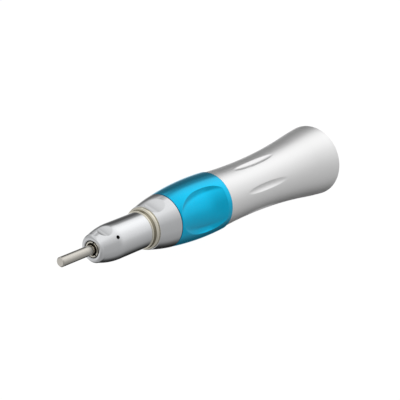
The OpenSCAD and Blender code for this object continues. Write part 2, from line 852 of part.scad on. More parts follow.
module cam_sleeve() {
    color(steel_tone)
    difference() {
        tube(cam_sleeve_r, cam_bore_r, cam_sleeve_h0, cam_sleeve_h1);
        around(cam_pin_count)
            for (i = [0 : cam_steps])
                rotate([0, 0, twist_angle * i / cam_steps])
                    translate([cam_bore_r - past, 0, cam_pin_h + cam_travel * i / cam_steps])
                        rotate([0, 90, 0])
                            cylinder(r = slot_r, h = cam_sleeve_wall + 2 * past);
    }
}

module cam_pin(r, from_r, to_r) {
    translate([from_r, 0, cam_pin_h])
        rotate([0, 90, 0])
            cylinder(r = r, h = to_r - from_r);
}

module cam_collar() {
    color(brass_tone)
    difference() {
        tube(collar_r, collar_bore, collar_h0, collar_h1);
        around(cam_pin_count)
            cam_pin(cam_pin_r + fixed_fit, cam_pin_from, collar_r + past);
    }
}

module cam_pins() {
    color(steel_tone)
        around(cam_pin_count)
            cam_pin(cam_pin_r, cam_pin_from, cam_sleeve_r - cam_pin_sunk);
}

// ---- Bearings ----

module front_outer_race() {
    color(steel_tone)
        outer_race_body(front_bearing, front_race_h0);
}

module middle_outer_race() {
    color(steel_tone)
        outer_race_body(front_bearing, middle_race_h0);
}

module outer_spacer() {
    color(brass_tone)
        tube(front_race_r, front_race_r - outer_spacer_wall, middle_race_h1, front_race_h0);
}

module rear_outer_race() {
    color(steel_tone)
        outer_race_body(rear_bearing, washer_h1);
}

module rear_spacer() {
    color(brass_tone)
        tube(rear_race_r, rear_race_r - rear_spacer_wall, rear_race_h1, collar_h0 - spacer_gap);
}

module preload_washer() {
    color(spring_tone)
        tube(rear_race_r, rear_race_r - washer_rim, nut_h1, washer_h1);
}

module bearing_nut() {
    color(brass_tone)
    difference() {
        tube(rear_race_r, clear_bore_r, nut_h0, nut_h1);
        around(2)
            translate([0, -nut_slot_w / 2, nut_h0 - eps])
                cube([rear_race_r + past, nut_slot_w, nut_slot_depth]);
    }
}

module front_inner_race() {
    color(steel_tone)
        inner_race_body(front_bearing, front_race_h0);
}

module middle_inner_race() {
    color(steel_tone)
        inner_race_body(front_bearing, middle_race_h0);
}

module inner_spacer() {
    color(brass_tone)
        tube(spindle_r + inner_spacer_wall, front_bearing[0], middle_race_h1, front_race_h0);
}

module rear_inner_race() {
    color(steel_tone)
        inner_race_body(rear_bearing, washer_h1);
}

module front_cage() {
    color(cage_tone)
        cage_body(front_bearing, front_race_h0);
}

module front_balls() {
    color(chrome_tone)
        ball_set(front_bearing, front_race_h0);
}

module middle_cage() {
    color(cage_tone)
        cage_body(front_bearing, middle_race_h0);
}

module middle_balls() {
    color(chrome_tone)
        ball_set(front_bearing, middle_race_h0);
}

module rear_cage() {
    color(cage_tone)
        cage_body(rear_bearing, washer_h1);
}

module rear_balls() {
    color(chrome_tone)
        ball_set(rear_bearing, washer_h1);
}

// ---- Spindle ----

module spindle() {
    cone_h1 = collet_cone_h1;
    pin_slot = [cross_pin_h - cross_pin_r - running_fit,
                cross_pin_h + collet_travel + cross_pin_r + running_fit];
    color(steel_tone)
    difference() {
        union() {
            bar(spindle_r, tail_shoulder, front_race_h1);
            bar(spindle_nose_r, front_race_h1, spindle_h1);
            translate([-tail_w / 2, -tail_w / 2, tail_h0])
                cube([tail_w, tail_w, tail_shoulder - tail_h0 + eps]);
        }
        bar(spindle_bore_r, spindle_bore_h0, spindle_h1 + eps);
        taper(spindle_bore_r, collet_head_r + running_fit, collet_cone_h0, cone_h1);
        bar(collet_head_r + running_fit, cone_h1, spindle_h1 + eps);
        for (side = [0, 180])
            rotate([0, 0, side])
                cam_slot(pin_slot[0], pin_slot[1], cross_pin_r + running_fit, 0, spindle_r + past);
        circlip_groove(middle_race_h0 - circlip_t);
        circlip_groove(seat_washer_h1);
        translate([0, 0, dog_pin_h])
            rotate([90, 0, 0])
                cylinder(r = dog_pin_r + fixed_fit, h = 2 * tail_w, center = true);
    }
}

module circlip_groove(h) {
    tube(spindle_r + past, circlip_groove_r, h, h + circlip_t);
}

// A circlip with a gap, standing on height h
module circlip(h) {
    difference() {
        tube(circlip_r, circlip_groove_r + fixed_fit, h + fixed_fit / 2, h + circlip_t - fixed_fit / 2);
        translate([0, -circlip_gap / 2, h - eps])
            cube([circlip_r + past, circlip_gap, circlip_t + 2 * eps]);
    }
}

module race_circlip() {
    color(spring_tone)
        circlip(middle_race_h0 - circlip_t);
}

module spring_circlip() {
    color(spring_tone)
        circlip(seat_washer_h1);
}

module spring_seat() {
    color(steel_tone)
        tube(spring_bore_r - spring_seat_room, spindle_r + fixed_fit,
             seat_washer_h1 - spring_seat_t, seat_washer_h1);
}

module chuck_spring() {
    color(spring_tone)
        coil(spindle_r + spring_room + 2 * chuck_wire_r, chuck_wire_r, chuck_turns,
             chuck_spring_h0, chuck_spring_h1);
}

module collet() {
    color(steel_tone)
    difference() {
        union() {
            bar(collet_r, collet_h0, collet_cone_h0);
            taper(collet_r, collet_head_r, collet_cone_h0, collet_cone_h1);
            bar(collet_head_r, collet_cone_h1, collet_h1);
        }
        bar(collet_bore_r, collet_bore_h0, collet_h1 + eps);
        taper(collet_bore_r, collet_bore_r + collet_flare, collet_h1 - collet_flare_len, collet_h1 + eps);
        at_angle(land_angle)
            around(collet_slot_count)
                cam_slot(collet_h1 - collet_slot_len, collet_h1 + past, collet_slot_w / 2,
                         0, 2 * collet_head_r);
        translate([0, 0, cross_pin_h])
            rotate([0, 90, 0])
                cylinder(r = cross_pin_r + fixed_fit, h = 4 * collet_r, center = true);
    }
}

module cross_pin() {
    color(steel_tone)
        translate([0, 0, cross_pin_h])
            rotate([0, 90, 0])
                cylinder(r = cross_pin_r, h = 2 * (thrust_r - cross_pin_sunk), center = true);
}

module thrust_ring() {
    color(steel_tone)
    difference() {
        tube(thrust_r, spindle_r + running_fit, thrust_h0, thrust_h1);
        translate([0, 0, cross_pin_h])
            rotate([0, 90, 0])
                cylinder(r = cross_pin_r + fixed_fit, h = 3 * thrust_r, center = true);
    }
}

module shank() {
    color(nickel_tone) {
        bar(shank_r, shank_h0, shank_h1 - shank_chamfer);
        taper(shank_r, shank_r - shank_chamfer, shank_h1 - shank_chamfer, shank_h1);
    }
}

// ---- Drive dog ----

module drive_dog() {
    socket_w = tail_w + 2 * tail_gap;
    slot = [dog_pin_h - dog_stroke - dog_pin_r - running_fit, dog_pin_h + dog_pin_r + running_fit];
    color(steel_tone)
    difference() {
        bar(dog_r, dog_h0, dog_h1);
        translate([-socket_w / 2, -socket_w / 2, tail_h0 - dog_stroke - tail_clear])
            cube([socket_w, socket_w, dog_h1]);
        bar(dog_bore_r, dog_h0 - eps, tail_h0);
        translate([-dog_r - past, -dog_slot_w / 2, dog_h0 - eps])
            cube([2 * (dog_r + past), dog_slot_w, dog_slot_depth]);
        for (side = [90, 270])
            rotate([0, 0, side])
                cam_slot(slot[0], slot[1], dog_pin_r + running_fit, 0, dog_r + past);
    }
}

module dog_pin() {
    color(steel_tone)
        translate([0, 0, dog_pin_h])
            rotate([90, 0, 0])
                cylinder(r = dog_pin_r, h = 2 * (dog_r - dog_pin_sunk), center = true);
}

module dog_spring() {
    color(spring_tone)
        coil(tail_corner_r + dog_spring_room + dog_wire_r, dog_wire_r, dog_turns,
             dog_h1 + fixed_fit, tail_shoulder - fixed_fit);
}

lay() nose_cap();
lay() nose_o_ring();
lay() seat_ring();
lay() front_casing();
lay() inner_frame();
lay() grip_o_ring();
lay() rear_housing();
lay() motor_sleeve();
lay() index_pin();
lay() front_outer_race();
lay() middle_outer_race();
lay() outer_spacer();
lay() rear_outer_race();
lay() rear_spacer();
lay() preload_washer();
lay() bearing_nut();
lay() grip_ring();
lay() cam_sleeve();
lay() cam_collar();
lay() cam_pins();
lay() spindle();
lay() front_inner_race();
lay() middle_inner_race();
lay() inner_spacer();
lay() race_circlip();
lay() rear_inner_race();
lay() spring_seat();
lay() spring_circlip();
lay() chuck_spring();
lay() dog_pin();
lay() dog_spring();
lay() front_cage();
lay() front_balls();
lay() middle_cage();
lay() middle_balls();
lay() rear_cage();
lay() rear_balls();
lay() collet();
lay() cross_pin();
lay() thrust_ring();
lay() drive_dog();
lay() shank();
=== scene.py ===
"""Looks of a straight dental handpiece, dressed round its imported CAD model.

Lengths inside the classes are millimetres along the handpiece: a height runs from the mouth of the motor
socket (height 0, x = 0) towards the nose (-X), and an angle is measured from the top (+Z) towards -Y.
"""
import json
import logging
import math
from dataclasses import dataclass, field, fields
from enum import Enum
from typing import Callable, Optional, Sequence, Union

import bmesh
import bpy
from mathutils import Matrix, Vector

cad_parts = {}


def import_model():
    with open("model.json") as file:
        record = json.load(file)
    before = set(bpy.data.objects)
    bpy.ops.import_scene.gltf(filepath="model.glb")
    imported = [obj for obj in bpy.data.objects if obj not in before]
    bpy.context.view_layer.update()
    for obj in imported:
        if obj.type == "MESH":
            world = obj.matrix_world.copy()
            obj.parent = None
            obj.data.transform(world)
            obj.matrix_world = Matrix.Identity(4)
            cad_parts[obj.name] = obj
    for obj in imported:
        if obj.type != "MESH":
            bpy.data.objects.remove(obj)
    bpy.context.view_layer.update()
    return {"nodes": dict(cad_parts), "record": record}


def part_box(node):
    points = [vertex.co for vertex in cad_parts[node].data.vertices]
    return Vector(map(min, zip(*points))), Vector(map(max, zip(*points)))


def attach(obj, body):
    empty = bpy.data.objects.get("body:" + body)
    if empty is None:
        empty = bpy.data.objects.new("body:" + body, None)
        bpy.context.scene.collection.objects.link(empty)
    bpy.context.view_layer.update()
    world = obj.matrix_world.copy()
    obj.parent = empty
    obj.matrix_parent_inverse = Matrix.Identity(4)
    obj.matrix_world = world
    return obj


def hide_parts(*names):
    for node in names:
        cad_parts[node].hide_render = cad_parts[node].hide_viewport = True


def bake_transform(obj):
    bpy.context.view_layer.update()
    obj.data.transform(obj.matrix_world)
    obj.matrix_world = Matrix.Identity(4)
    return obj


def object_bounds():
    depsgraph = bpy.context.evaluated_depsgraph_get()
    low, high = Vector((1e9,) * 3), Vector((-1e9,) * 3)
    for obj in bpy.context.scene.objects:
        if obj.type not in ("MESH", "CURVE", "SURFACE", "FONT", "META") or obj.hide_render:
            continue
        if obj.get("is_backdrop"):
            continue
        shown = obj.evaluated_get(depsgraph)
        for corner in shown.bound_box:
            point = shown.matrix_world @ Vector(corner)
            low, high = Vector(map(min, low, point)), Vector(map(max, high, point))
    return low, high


LOG = logging.getLogger("handpiece")
MM = 0.001
Pair = tuple[float, float]
Point = tuple[float, float]  # a height and a radius, in mm
Place = tuple[float, float, float]
Colour = tuple[float, float, float]  # red, green and blue, linear
Number = Union[float, "Value"]
Node = bpy.types.Node
Socket = bpy.types.NodeSocket
Piece = bpy.types.Object
WHITE = (1.0, 1.0, 1.0)


# ---------------------------------------------------------------- node trees

def node_operator(operation: str, swapped: bool = False) -> Callable[["Value", Number], "Value"]:
    """Makes one of a Value's Python operators.

    Args:
        operation: the Math node's operation.
        swapped: whether the value stands on the operator's right.

    Returns:
        The method, which adds one Math node.
    """
    def apply(value: "Value", other: Number) -> "Value":
        """Both terms through a Math node, in the order that they are written in."""
        terms = (other, value) if swapped else (value, other)
        return value.graph.math(operation, *terms)
    return apply


class Value:
    """A number socket whose Python operators add Math nodes to its tree."""

    def __init__(self, graph: "Graph", socket: Socket) -> None:
        """Wraps an output socket of the graph."""
        self.graph = graph
        self.socket = socket

    __add__, __radd__ = node_operator("ADD"), node_operator("ADD", swapped=True)
    __sub__, __rsub__ = node_operator("SUBTRACT"), node_operator("SUBTRACT", swapped=True)
    __mul__, __rmul__ = node_operator("MULTIPLY"), node_operator("MULTIPLY", swapped=True)
    __truediv__, __rtruediv__ = node_operator("DIVIDE"), node_operator("DIVIDE", swapped=True)

    def __neg__(self) -> "Value":
        """Minus the value."""
        return self * -1.0

    def to(self, operation: str, *terms: Number) -> "Value":
        """The result of a Math node over the value and any further terms."""
        return self.graph.math(operation, self, *terms)


class MixKind(Enum):
    """What a Mix node mixes."""

    NUMBERS = "FLOAT"
    COLOURS = "RGBA"


class Graph:
    """A node tree that is filled by one node-making method."""

    def __init__(self, tree: bpy.types.NodeTree) -> None:
        """Starts on an existing tree."""
        self.tree = tree

    @classmethod
    def emptied(cls, owner: Union[bpy.types.Material, bpy.types.World]) -> "Graph":
        """Starts on the node tree of a material or a world.

        Args:
            owner: the new material or world.

        Returns:
            The graph, with no nodes.
        """
        owner.use_nodes = True
        owner.node_tree.nodes.clear()
        return cls(owner.node_tree)

    def node(self, kind: str, settings: Optional[dict] = None, inputs: Optional[dict] = None) -> Node:
        """Adds a node.

        Args:
            kind: the node's type, such as "ShaderNodeMath".
            settings: its own properties, set first; "stops" holds a colour ramp's stops.
            inputs: a value, a Value or a socket for each input, by name or by number.

        Returns:
            The new node.
        """
        node = self.tree.nodes.new(kind)
        for key, setting in (settings or {}).items():
            if key == "stops":
                self.set_stops(node.color_ramp, setting)
            else:
                setattr(node, key, setting)
        for key, term in (inputs or {}).items():
            self.feed(node.inputs[key], term)
        return node

    def feed(self, socket: Socket, term: object) -> None:
        """Links a term to an input, or sets it as the input's constant.

        Args:
            socket: the input.
            term: a Value, an output socket, or a constant; a colour has no alpha.
        """
        if isinstance(term, Value):
            term = term.socket
        if isinstance(term, Socket):
            self.tree.links.new(term, socket)
        elif socket.type == "RGBA":
            socket.default_value = (*term, 1.0)
        else:
            socket.default_value = term

    @staticmethod
    def set_stops(ramp: bpy.types.ColorRamp, stops: Sequence[tuple[float, Colour]]) -> None:
        """Gives a colour ramp its stops.

        Args:
            ramp: the ramp.
            stops: (position, colour) pairs, in order.
        """
        while len(ramp.elements) < len(stops):
            ramp.elements.new(0.5)
        for element, (place, colour) in zip(ramp.elements, stops):
            element.position = place
            element.color = (*colour, 1.0)

    def math(self, operation: str, *terms: Number) -> Value:
        """Adds a Math node of the named operation over its terms."""
        node = self.node("ShaderNodeMath", {"operation": operation}, dict(enumerate(terms)))
        return Value(self, node.outputs[0])

    def split(self, vector: Socket) -> list[Value]:
        """A vector's three parts."""
        node = self.node("ShaderNodeSeparateXYZ", None, {"Vector": vector})
        return [Value(self, part) for part in node.outputs]

    def step(self, value: Value, start: float, end: float) -> Value:
        """A smooth step, which is 0 where the value is `start` and 1 where it is `end`."""
        node = self.node("ShaderNodeMapRange", {"interpolation_type": "SMOOTHSTEP"},
                         {"Value": value, "From Min": start, "From Max": end})
        return Value(self, node.outputs[0])

    def mix(self, kind: MixKind, factor: Value, low: object, high: object) -> Socket:
        """Mixes two terms.

        Args:
            kind: what the terms are.
            factor: 0 for the low term, 1 for the high one.
            low: a constant, a Value or a socket.
            high: a constant, a Value or a socket.

        Returns:
            The mix.
        """
        node = self.node("ShaderNodeMix", {"data_type": kind.value}, {"Factor": factor, "A": low, "B": high})
        return node.outputs["Result"]


# ---------------------------------------------------------------- finishes

@dataclass(frozen=True)
class Finish:
    """Base of every finish: one procedural material on Object coordinates.

    Two noises, a broad cloud and a fine grain, vary its tone and its gloss, and the grain stands up from it.
    A pair of weights is for the cloud and the grain. A grain's size is along the axis and round it.
    """

    name: str
    dark: Colour
    light: Colour
    sheen: float
    haze: Pair
    metallic: float = 1.0
    tone_mix: Pair = (1.0, 0.0)
    cloud_mm: float = 1.0
    cloud_detail: float = 3.0
    grain_mm: Pair = (0.05, 0.05)
    grain_detail: float = 3.0
    relief_mm: float = 0.002
    relief: float = 0.5

    def material(self) -> bpy.types.Material:
        """Makes the finish's material, on first use.

        Returns:
            The material.
        """
        made = bpy.data.materials.get(self.name)
        if made is None:
            made = bpy.data.materials.new(self.name)
            graph = Graph.emptied(made)
            shader = graph.node("ShaderNodeBsdfPrincipled", None, self.surface(graph))
            graph.node("ShaderNodeOutputMaterial", None, {"Surface": shader.outputs[0]})
        return made

    def surface(self, graph: Graph) -> dict[str, object]:
        """Builds the surface.

        Args:
            graph: the material's tree.

        Returns:
            The inputs of its Principled shader, by name.
        """
        cloud = self.noise(graph, (self.cloud_mm, self.cloud_mm), self.cloud_detail)
        grain = self.noise(graph, self.grain_mm, self.grain_detail)
        tone = self.tone_mix[0] * cloud + self.tone_mix[1] * grain
        bump = graph.node("ShaderNodeBump", None, {"Height": grain, "Distance": self.relief_mm * MM,
                                                   "Strength": self.relief})
        return {"Metallic": self.metallic,
                "Base Color": graph.mix(MixKind.COLOURS, tone, self.dark, self.light),
                "Roughness": self.sheen + self.haze[0] * cloud + self.haze[1] * grain,
                "Normal": bump.outputs[0]}

    @staticmethod
    def noise(graph: Graph, size_mm: Pair, detail: float) -> Value:
        """Noise in grains.

        Args:
            graph: the material's tree.
            size_mm: a grain's length on the axis and its width round it.
            detail: how many finer layers it has.

        Returns:
            The noise, about 0 to 1.
        """
        along, across = (1 / (size * MM) for size in size_mm)
        place = graph.node("ShaderNodeTexCoord").outputs["Object"]
        scaled = graph.node("ShaderNodeMapping", {"vector_type": "POINT"},
                            {"Vector": place, "Scale": (along, across, across)})
        noise = graph.node("ShaderNodeTexNoise", {"noise_dimensions": "3D"},
                           {"Vector": scaled.outputs[0], "Scale": 1.0, "Detail": detail, "Roughness": 0.55})
        return Value(graph, noise.outputs["Fac"])


@dataclass(frozen=True)
class PlatedMetal(Finish):
    """Polished plate over metal: nearly a mirror, with a faint haze and fine polishing lines."""

    cloud_mm: float = 3.0
    grain_mm: Pair = (0.03, 4.0)
    relief_mm: float = 0.0004
    relief: float = 0.6


@dataclass(frozen=True)
class PearlMetal(Finish):
    """Satin chrome over a bead-blasted surface."""

    metallic: float = 0.9
    tone_mix: Pair = (0.5, 0.5)
    cloud_mm: float = 6.0
    grain_mm: Pair = (0.07, 0.07)
    grain_detail: float = 2.0
    relief_mm: float = 0.0016
    relief: float = 0.8


@dataclass(frozen=True)
class AnodisedMetal(Finish):
    """Dyed, sealed anodising over fine-turned aluminium."""

    tone_mix: Pair = (0.7, 0.3)
    cloud_mm: float = 2.5
    grain_mm: Pair = (0.05, 5.0)
    relief_mm: float = 0.0006
    seal: float = 0.0
    seal_sheen: float = 0.05

    def surface(self, graph: Graph) -> dict[str, object]:
        """The base's surface, under a clear seal."""
        return {**super().surface(graph), "Specular IOR Level": 0.0, "Coat Weight": self.seal,
                "Coat Roughness": self.seal_sheen}


@dataclass(frozen=True)
class TurnedMetal(Finish):
    """Ground or turned metal with lines that run round the axis."""

    haze: Pair = (0.05, 0.12)
    tone_mix: Pair = (0.4, 0.6)
    cloud_mm: float = 1.5
    grain_mm: Pair = (0.04, 3.0)
    grain_detail: float = 4.0
    relief_mm: float = 0.0012
    relief: float = 0.7


@dataclass(frozen=True)
class ColletSteel(Finish):
    """Ground spring steel whose bore and countersink are painted dark as shade."""

    tone_mix: Pair = (0.0, 1.0)
    grain_mm: Pair = (0.05, 1.0)
    relief_mm: float = 0.001
    # Dark brown painted shade inside the collet's bore and countersink, and where it ends.
    oiled: Colour = (0.045, 0.03, 0.018)
    oiled_radius: float = 1.52
    oil_edge: Pair = (-0.03, 0.02)

    def surface(self, graph: Graph) -> dict[str, object]:
        """The base's surface, with painted shade inside a radius round the axis.

        Args:
            graph: the material's tree.

        Returns:
            The inputs of its Principled shader, by name.
        """
        made = super().surface(graph)
        _, y, z = graph.split(graph.node("ShaderNodeTexCoord").outputs["Object"])
        start, end = ((self.oiled_radius + margin) * MM for margin in self.oil_edge)
        # Painted shade: near the axis the steel turns dark brown.
        bare = graph.step((y * y + z * z).to("SQRT"), start, end)
        made["Base Color"] = graph.mix(MixKind.COLOURS, bare, self.oiled, made["Base Color"])
        return made


@dataclass(frozen=True)
class MouldedPolymer(Finish):
    """Rubber or moulded resin with a fine matt grain."""

    haze: Pair = (0.0, 0.1)
    metallic: float = 0.0


CHROME = PlatedMetal("polished_chrome", (0.76, 0.77, 0.785), (0.79, 0.80, 0.815), sheen=0.07,
                     haze=(0.03, 0.015))
NICKEL = PlatedMetal("bright_nickel", (0.84, 0.79, 0.66), (0.90, 0.86, 0.74), sheen=0.10, haze=(0.04, 0.02))
# Darker nickel for the seat ring's hollow: painted shade plus a painted reflection of the dark cap, on the
# same plating as the ring.
PAINTED_HOLLOW_SHADE = PlatedMetal("nickel_painted_hollow_shade", (0.25, 0.23, 0.17), (0.31, 0.28, 0.21), sheen=0.14, haze=(0.06, 0.03))
RACE = PlatedMetal("bearing_steel", (0.60, 0.61, 0.64), (0.72, 0.73, 0.76), sheen=0.12, haze=(0.05, 0.025))
PEARL = PearlMetal("pearl_chrome", (0.87, 0.87, 0.87), (0.91, 0.91, 0.91), sheen=0.30, haze=(0.05, 0.05))
BLUE = AnodisedMetal("blue_anodising", (0.0, 0.51, 0.82), (0.0, 0.55, 0.88), sheen=0.06, haze=(0.04, 0.03),
                     metallic=0.85, seal=0.25)
# Dark blue for the grip ring's two ends: painted shade in the grooves between the ring and its neighbours, on
# the same anodising.
PAINTED_JOINT_SHADE = AnodisedMetal("blue_joint_painted_shade", (0.0, 0.12, 0.24), (0.0, 0.15, 0.28), sheen=0.18, haze=(0.04, 0.03),
                      metallic=0.7)
SHANK = TurnedMetal("ground_shank_steel", (0.56, 0.535, 0.49), (0.67, 0.645, 0.59), sheen=0.11)
STEEL = TurnedMetal("turned_stainless", (0.52, 0.53, 0.55), (0.66, 0.67, 0.69), sheen=0.26)
SPRING = TurnedMetal("spring_steel", (0.30, 0.31, 0.34), (0.46, 0.47, 0.50), sheen=0.30)
BRASS = TurnedMetal("turned_brass", (0.58, 0.42, 0.16), (0.76, 0.58, 0.26), sheen=0.22)
COLLET = ColletSteel("collet_steel", (0.60, 0.57, 0.50), (0.72, 0.69, 0.61), sheen=0.3, haze=(0.0, 0.1))
NITRILE = MouldedPolymer("black_nitrile", (0.012, 0.012, 0.013), (0.022, 0.022, 0.024), sheen=0.5)
RESIN = MouldedPolymer("cage_resin", (0.28, 0.17, 0.06), (0.36, 0.23, 0.09), sheen=0.42)
# Near-black for the inside of the spanner hole and of the mouth's bore: painted shade, darker than any bare
# metal.
PAINTED_BORE_SHADE = MouldedPolymer("bore_painted_shade", (0.004, 0.004, 0.004), (0.010, 0.010, 0.010), sheen=0.6)

SLOT_FINISH: dict[str, Finish] = {
    "chrome": CHROME, "satin_chrome": PEARL, "nickel": NICKEL, "blue_anodise": BLUE, "hard_steel": STEEL,
    "bearing_steel": RACE, "spring_steel": SPRING, "brass": BRASS, "nitrile": NITRILE, "cage_resin": RESIN,
    "shank_steel": SHANK,
}

NODE_FINISH: dict[str, Finish] = {"collet": COLLET}


# ---------------------------------------------------------------- turned blanks

@dataclass
class Outline:
    """Half section of a turned piece, drawn corner by corner as (height, radius) in mm."""

    points: list[Point] = field(default_factory=list)
    fillet_steps: int = 4
    fillet_support: float = 1.5
    fillet_share: float = 0.49

    def corners(self, *points: Point) -> "Outline":
        """Adds sharp corners."""
        self.points += points
        return self

    def curve(self, start: float, end: float, radius: Callable[[float], float], steps: int) -> None:
        """Adds the points of a curve.

        Args:
            start: height of the first point.
            end: height of the last point.
            radius: the curve's radius by height.
            steps: how many spaces lie between the points.
        """
        for i in range(steps + 1):
            height = start + (end - start) * i / steps
            self.points.append((height, radius(height)))

    def bead(self, centre: Point, section: float, sweep: Pair, steps: int = 16) -> None:
        """Adds a bead's round back.

        Args:
            centre: height and radius of the round's centre.
            section: the round's own radius.
            sweep: its first and last angle, in degrees from its rear side.
            steps: how many spaces lie between the points.
        """
        start, end = sweep
        for i in range(steps + 1):
            swing = math.radians(start + (end - start) * i / steps)
            self.points.append((centre[0] - section * math.cos(swing), centre[1] + section * math.sin(swing)))

    def rounded(self, fillets: dict[int, float]) -> list[Point]:
        """The closed outline's points, with a fillet at the corners that the table names by number.

        Args:
            fillets: the fillet's reach along each side, in mm, by the corner's number.

        Returns:
            The points, with a close support point beyond each end of every fillet.
        """
        made: list[Point] = []
        for number, here in enumerate(self.points):
            reach = fillets.get(number)
            if reach is None:
                made.append(here)
                continue
            last, following = self.points[number - 1], self.points[(number + 1) % len(self.points)]
            before, after = self.toward(here, last, reach), self.toward(here, following, reach)
            made.append(self.toward(here, last, self.fillet_support * reach))
            for i in range(self.fillet_steps + 1):
                t = i / self.fillet_steps
                made.append(tuple((1 - t) ** 2 * a + 2 * t * (1 - t) * b + t * t * c
                                  for a, b, c in zip(before, here, after)))
            made.append(self.toward(here, following, self.fillet_support * reach))
        return made

    def toward(self, start: Point, end: Point, reach: float) -> Point:
        """The point `reach` mm from start towards end, but always nearer to start."""
        share = min(reach / math.dist(start, end), self.fillet_share)
        return (start[0] + (end[0] - start[0]) * share, start[1] + (end[1] - start[1]) * share)


def even_angles(count: int) -> list[float]:
    """Angles of evenly spaced columns, in radians."""
    return [2 * math.pi * i / count for i in range(count)]


def repeated_angles(first: float, repeats: int, fine_half: float, fine: int, coarse: int) -> list[float]:
    """Angles whose columns crowd round each repeat of a feature.

    Args:
        first: the first feature's angle, in degrees.
        repeats: how many features stand round the piece.
        fine_half: half of the angle that gets close columns, in degrees.
        fine: close columns for each feature.
        coarse: wide columns between two features.

    Returns:
        The columns' angles, in radians.
    """
    half = math.radians(fine_half)
    pitch = 2 * math.pi / repeats
    gap = pitch - 2 * half
    angles: list[float] = []
    for k in range(repeats):
        centre = math.radians(first) + k * pitch
        angles += [centre - half + 2 * half * i / fine for i in range(fine)]
        angles += [centre + half + gap * i / coarse for i in range(coarse)]
    return angles


def stand(name: str, data: bpy.types.ID) -> Piece:
    """Puts a new object into the scene.

    Args:
        name: its name.
        data: its mesh or camera.

    Returns:
        The object, at the origin.
    """
    made = bpy.data.objects.new(name, data)
    bpy.context.scene.collection.objects.link(made)
    return made


def turn(name: str, outline: Sequence[Point], angles: Sequence[float], closed: bool = True) -> Piece:
    """Turns an outline about the handpiece's axis.

    Args:
        name: the piece's name.
        outline: (height, radius) points in mm; a radius of 0 becomes a pole.
        angles: the columns' angles, in radians from the top towards -Y.
        closed: whether the last point joins the first, as on a ring.

    Returns:
        The new object, with its normals outwards.
    """
    form = bmesh.new()
    rings: list[list[bmesh.types.BMVert]] = []
    for height, radius in outline:
        columns = angles if radius > 0 else angles[:1]
        rings.append([form.verts.new((-height * MM, -radius * math.sin(a) * MM, radius * math.cos(a) * MM))
                      for a in columns])
    for i in range(len(rings) if closed else len(rings) - 1):
        low, high = rings[i], rings[(i + 1) % len(rings)]
        for k in range(len(angles)):
            n = (k + 1) % len(angles)
            corners = [low[k % len(low)], low[n % len(low)], high[n % len(high)], high[k % len(high)]]
            form.faces.new(list(dict.fromkeys(corners)))
    bmesh.ops.recalc_face_normals(form, faces=form.faces)
    mesh = bpy.data.meshes.new(name)
    form.to_mesh(mesh)
    form.free()
    return stand(name, mesh)


def bake(piece: Piece) -> None:
    """Turns a piece's modifiers into plain mesh and removes them.

    Args:
        piece: the object.
    """
    depsgraph = bpy.context.evaluated_depsgraph_get()
    made = bpy.data.meshes.new_from_object(piece.evaluated_get(depsgraph), preserve_all_data_layers=True,
                                           depsgraph=depsgraph)
    piece.modifiers.clear()
    piece.data = made


def bore_out(piece: Piece, bit: Piece) -> None:
    """Cuts a bit out of a piece exactly, and deletes the bit.

    Args:
        piece: the object that is bored.
        bit: what bores it, in place.
    """
    cut = piece.modifiers.new("cut", "BOOLEAN")
    cut.operation = "DIFFERENCE"
    cut.solver = "EXACT"
    cut.object = bit
    bake(piece)
    bpy.data.objects.remove(bit)


def rod(name: str, start: float, end: float, radius: float, columns: int) -> Piece:
    """A round bar on the axis, between two heights, such as a drill bit."""
    outline = [(start, 0.0), (start, radius), (end, radius), (end, 0.0)]
    return turn(name, outline, even_angles(columns), closed=False)


# ---------------------------------------------------------------- grinding with Geometry Nodes

LEAST_COSINE = 0.02
POCKET_SIDE_ROUNDS = 3


def leg(hypotenuse: Value, other: Value) -> Value:
    """The third side of a right triangle, or 0 where the other side is too long for one."""
    return (hypotenuse * hypotenuse - other * other).to("MAXIMUM", 0.0).to("SQRT")


def cosine_of(off: Value) -> Value:
    """An angle's cosine, kept above 0 so that it can divide."""
    return off.to("COSINE").to("MAXIMUM", LEAST_COSINE)


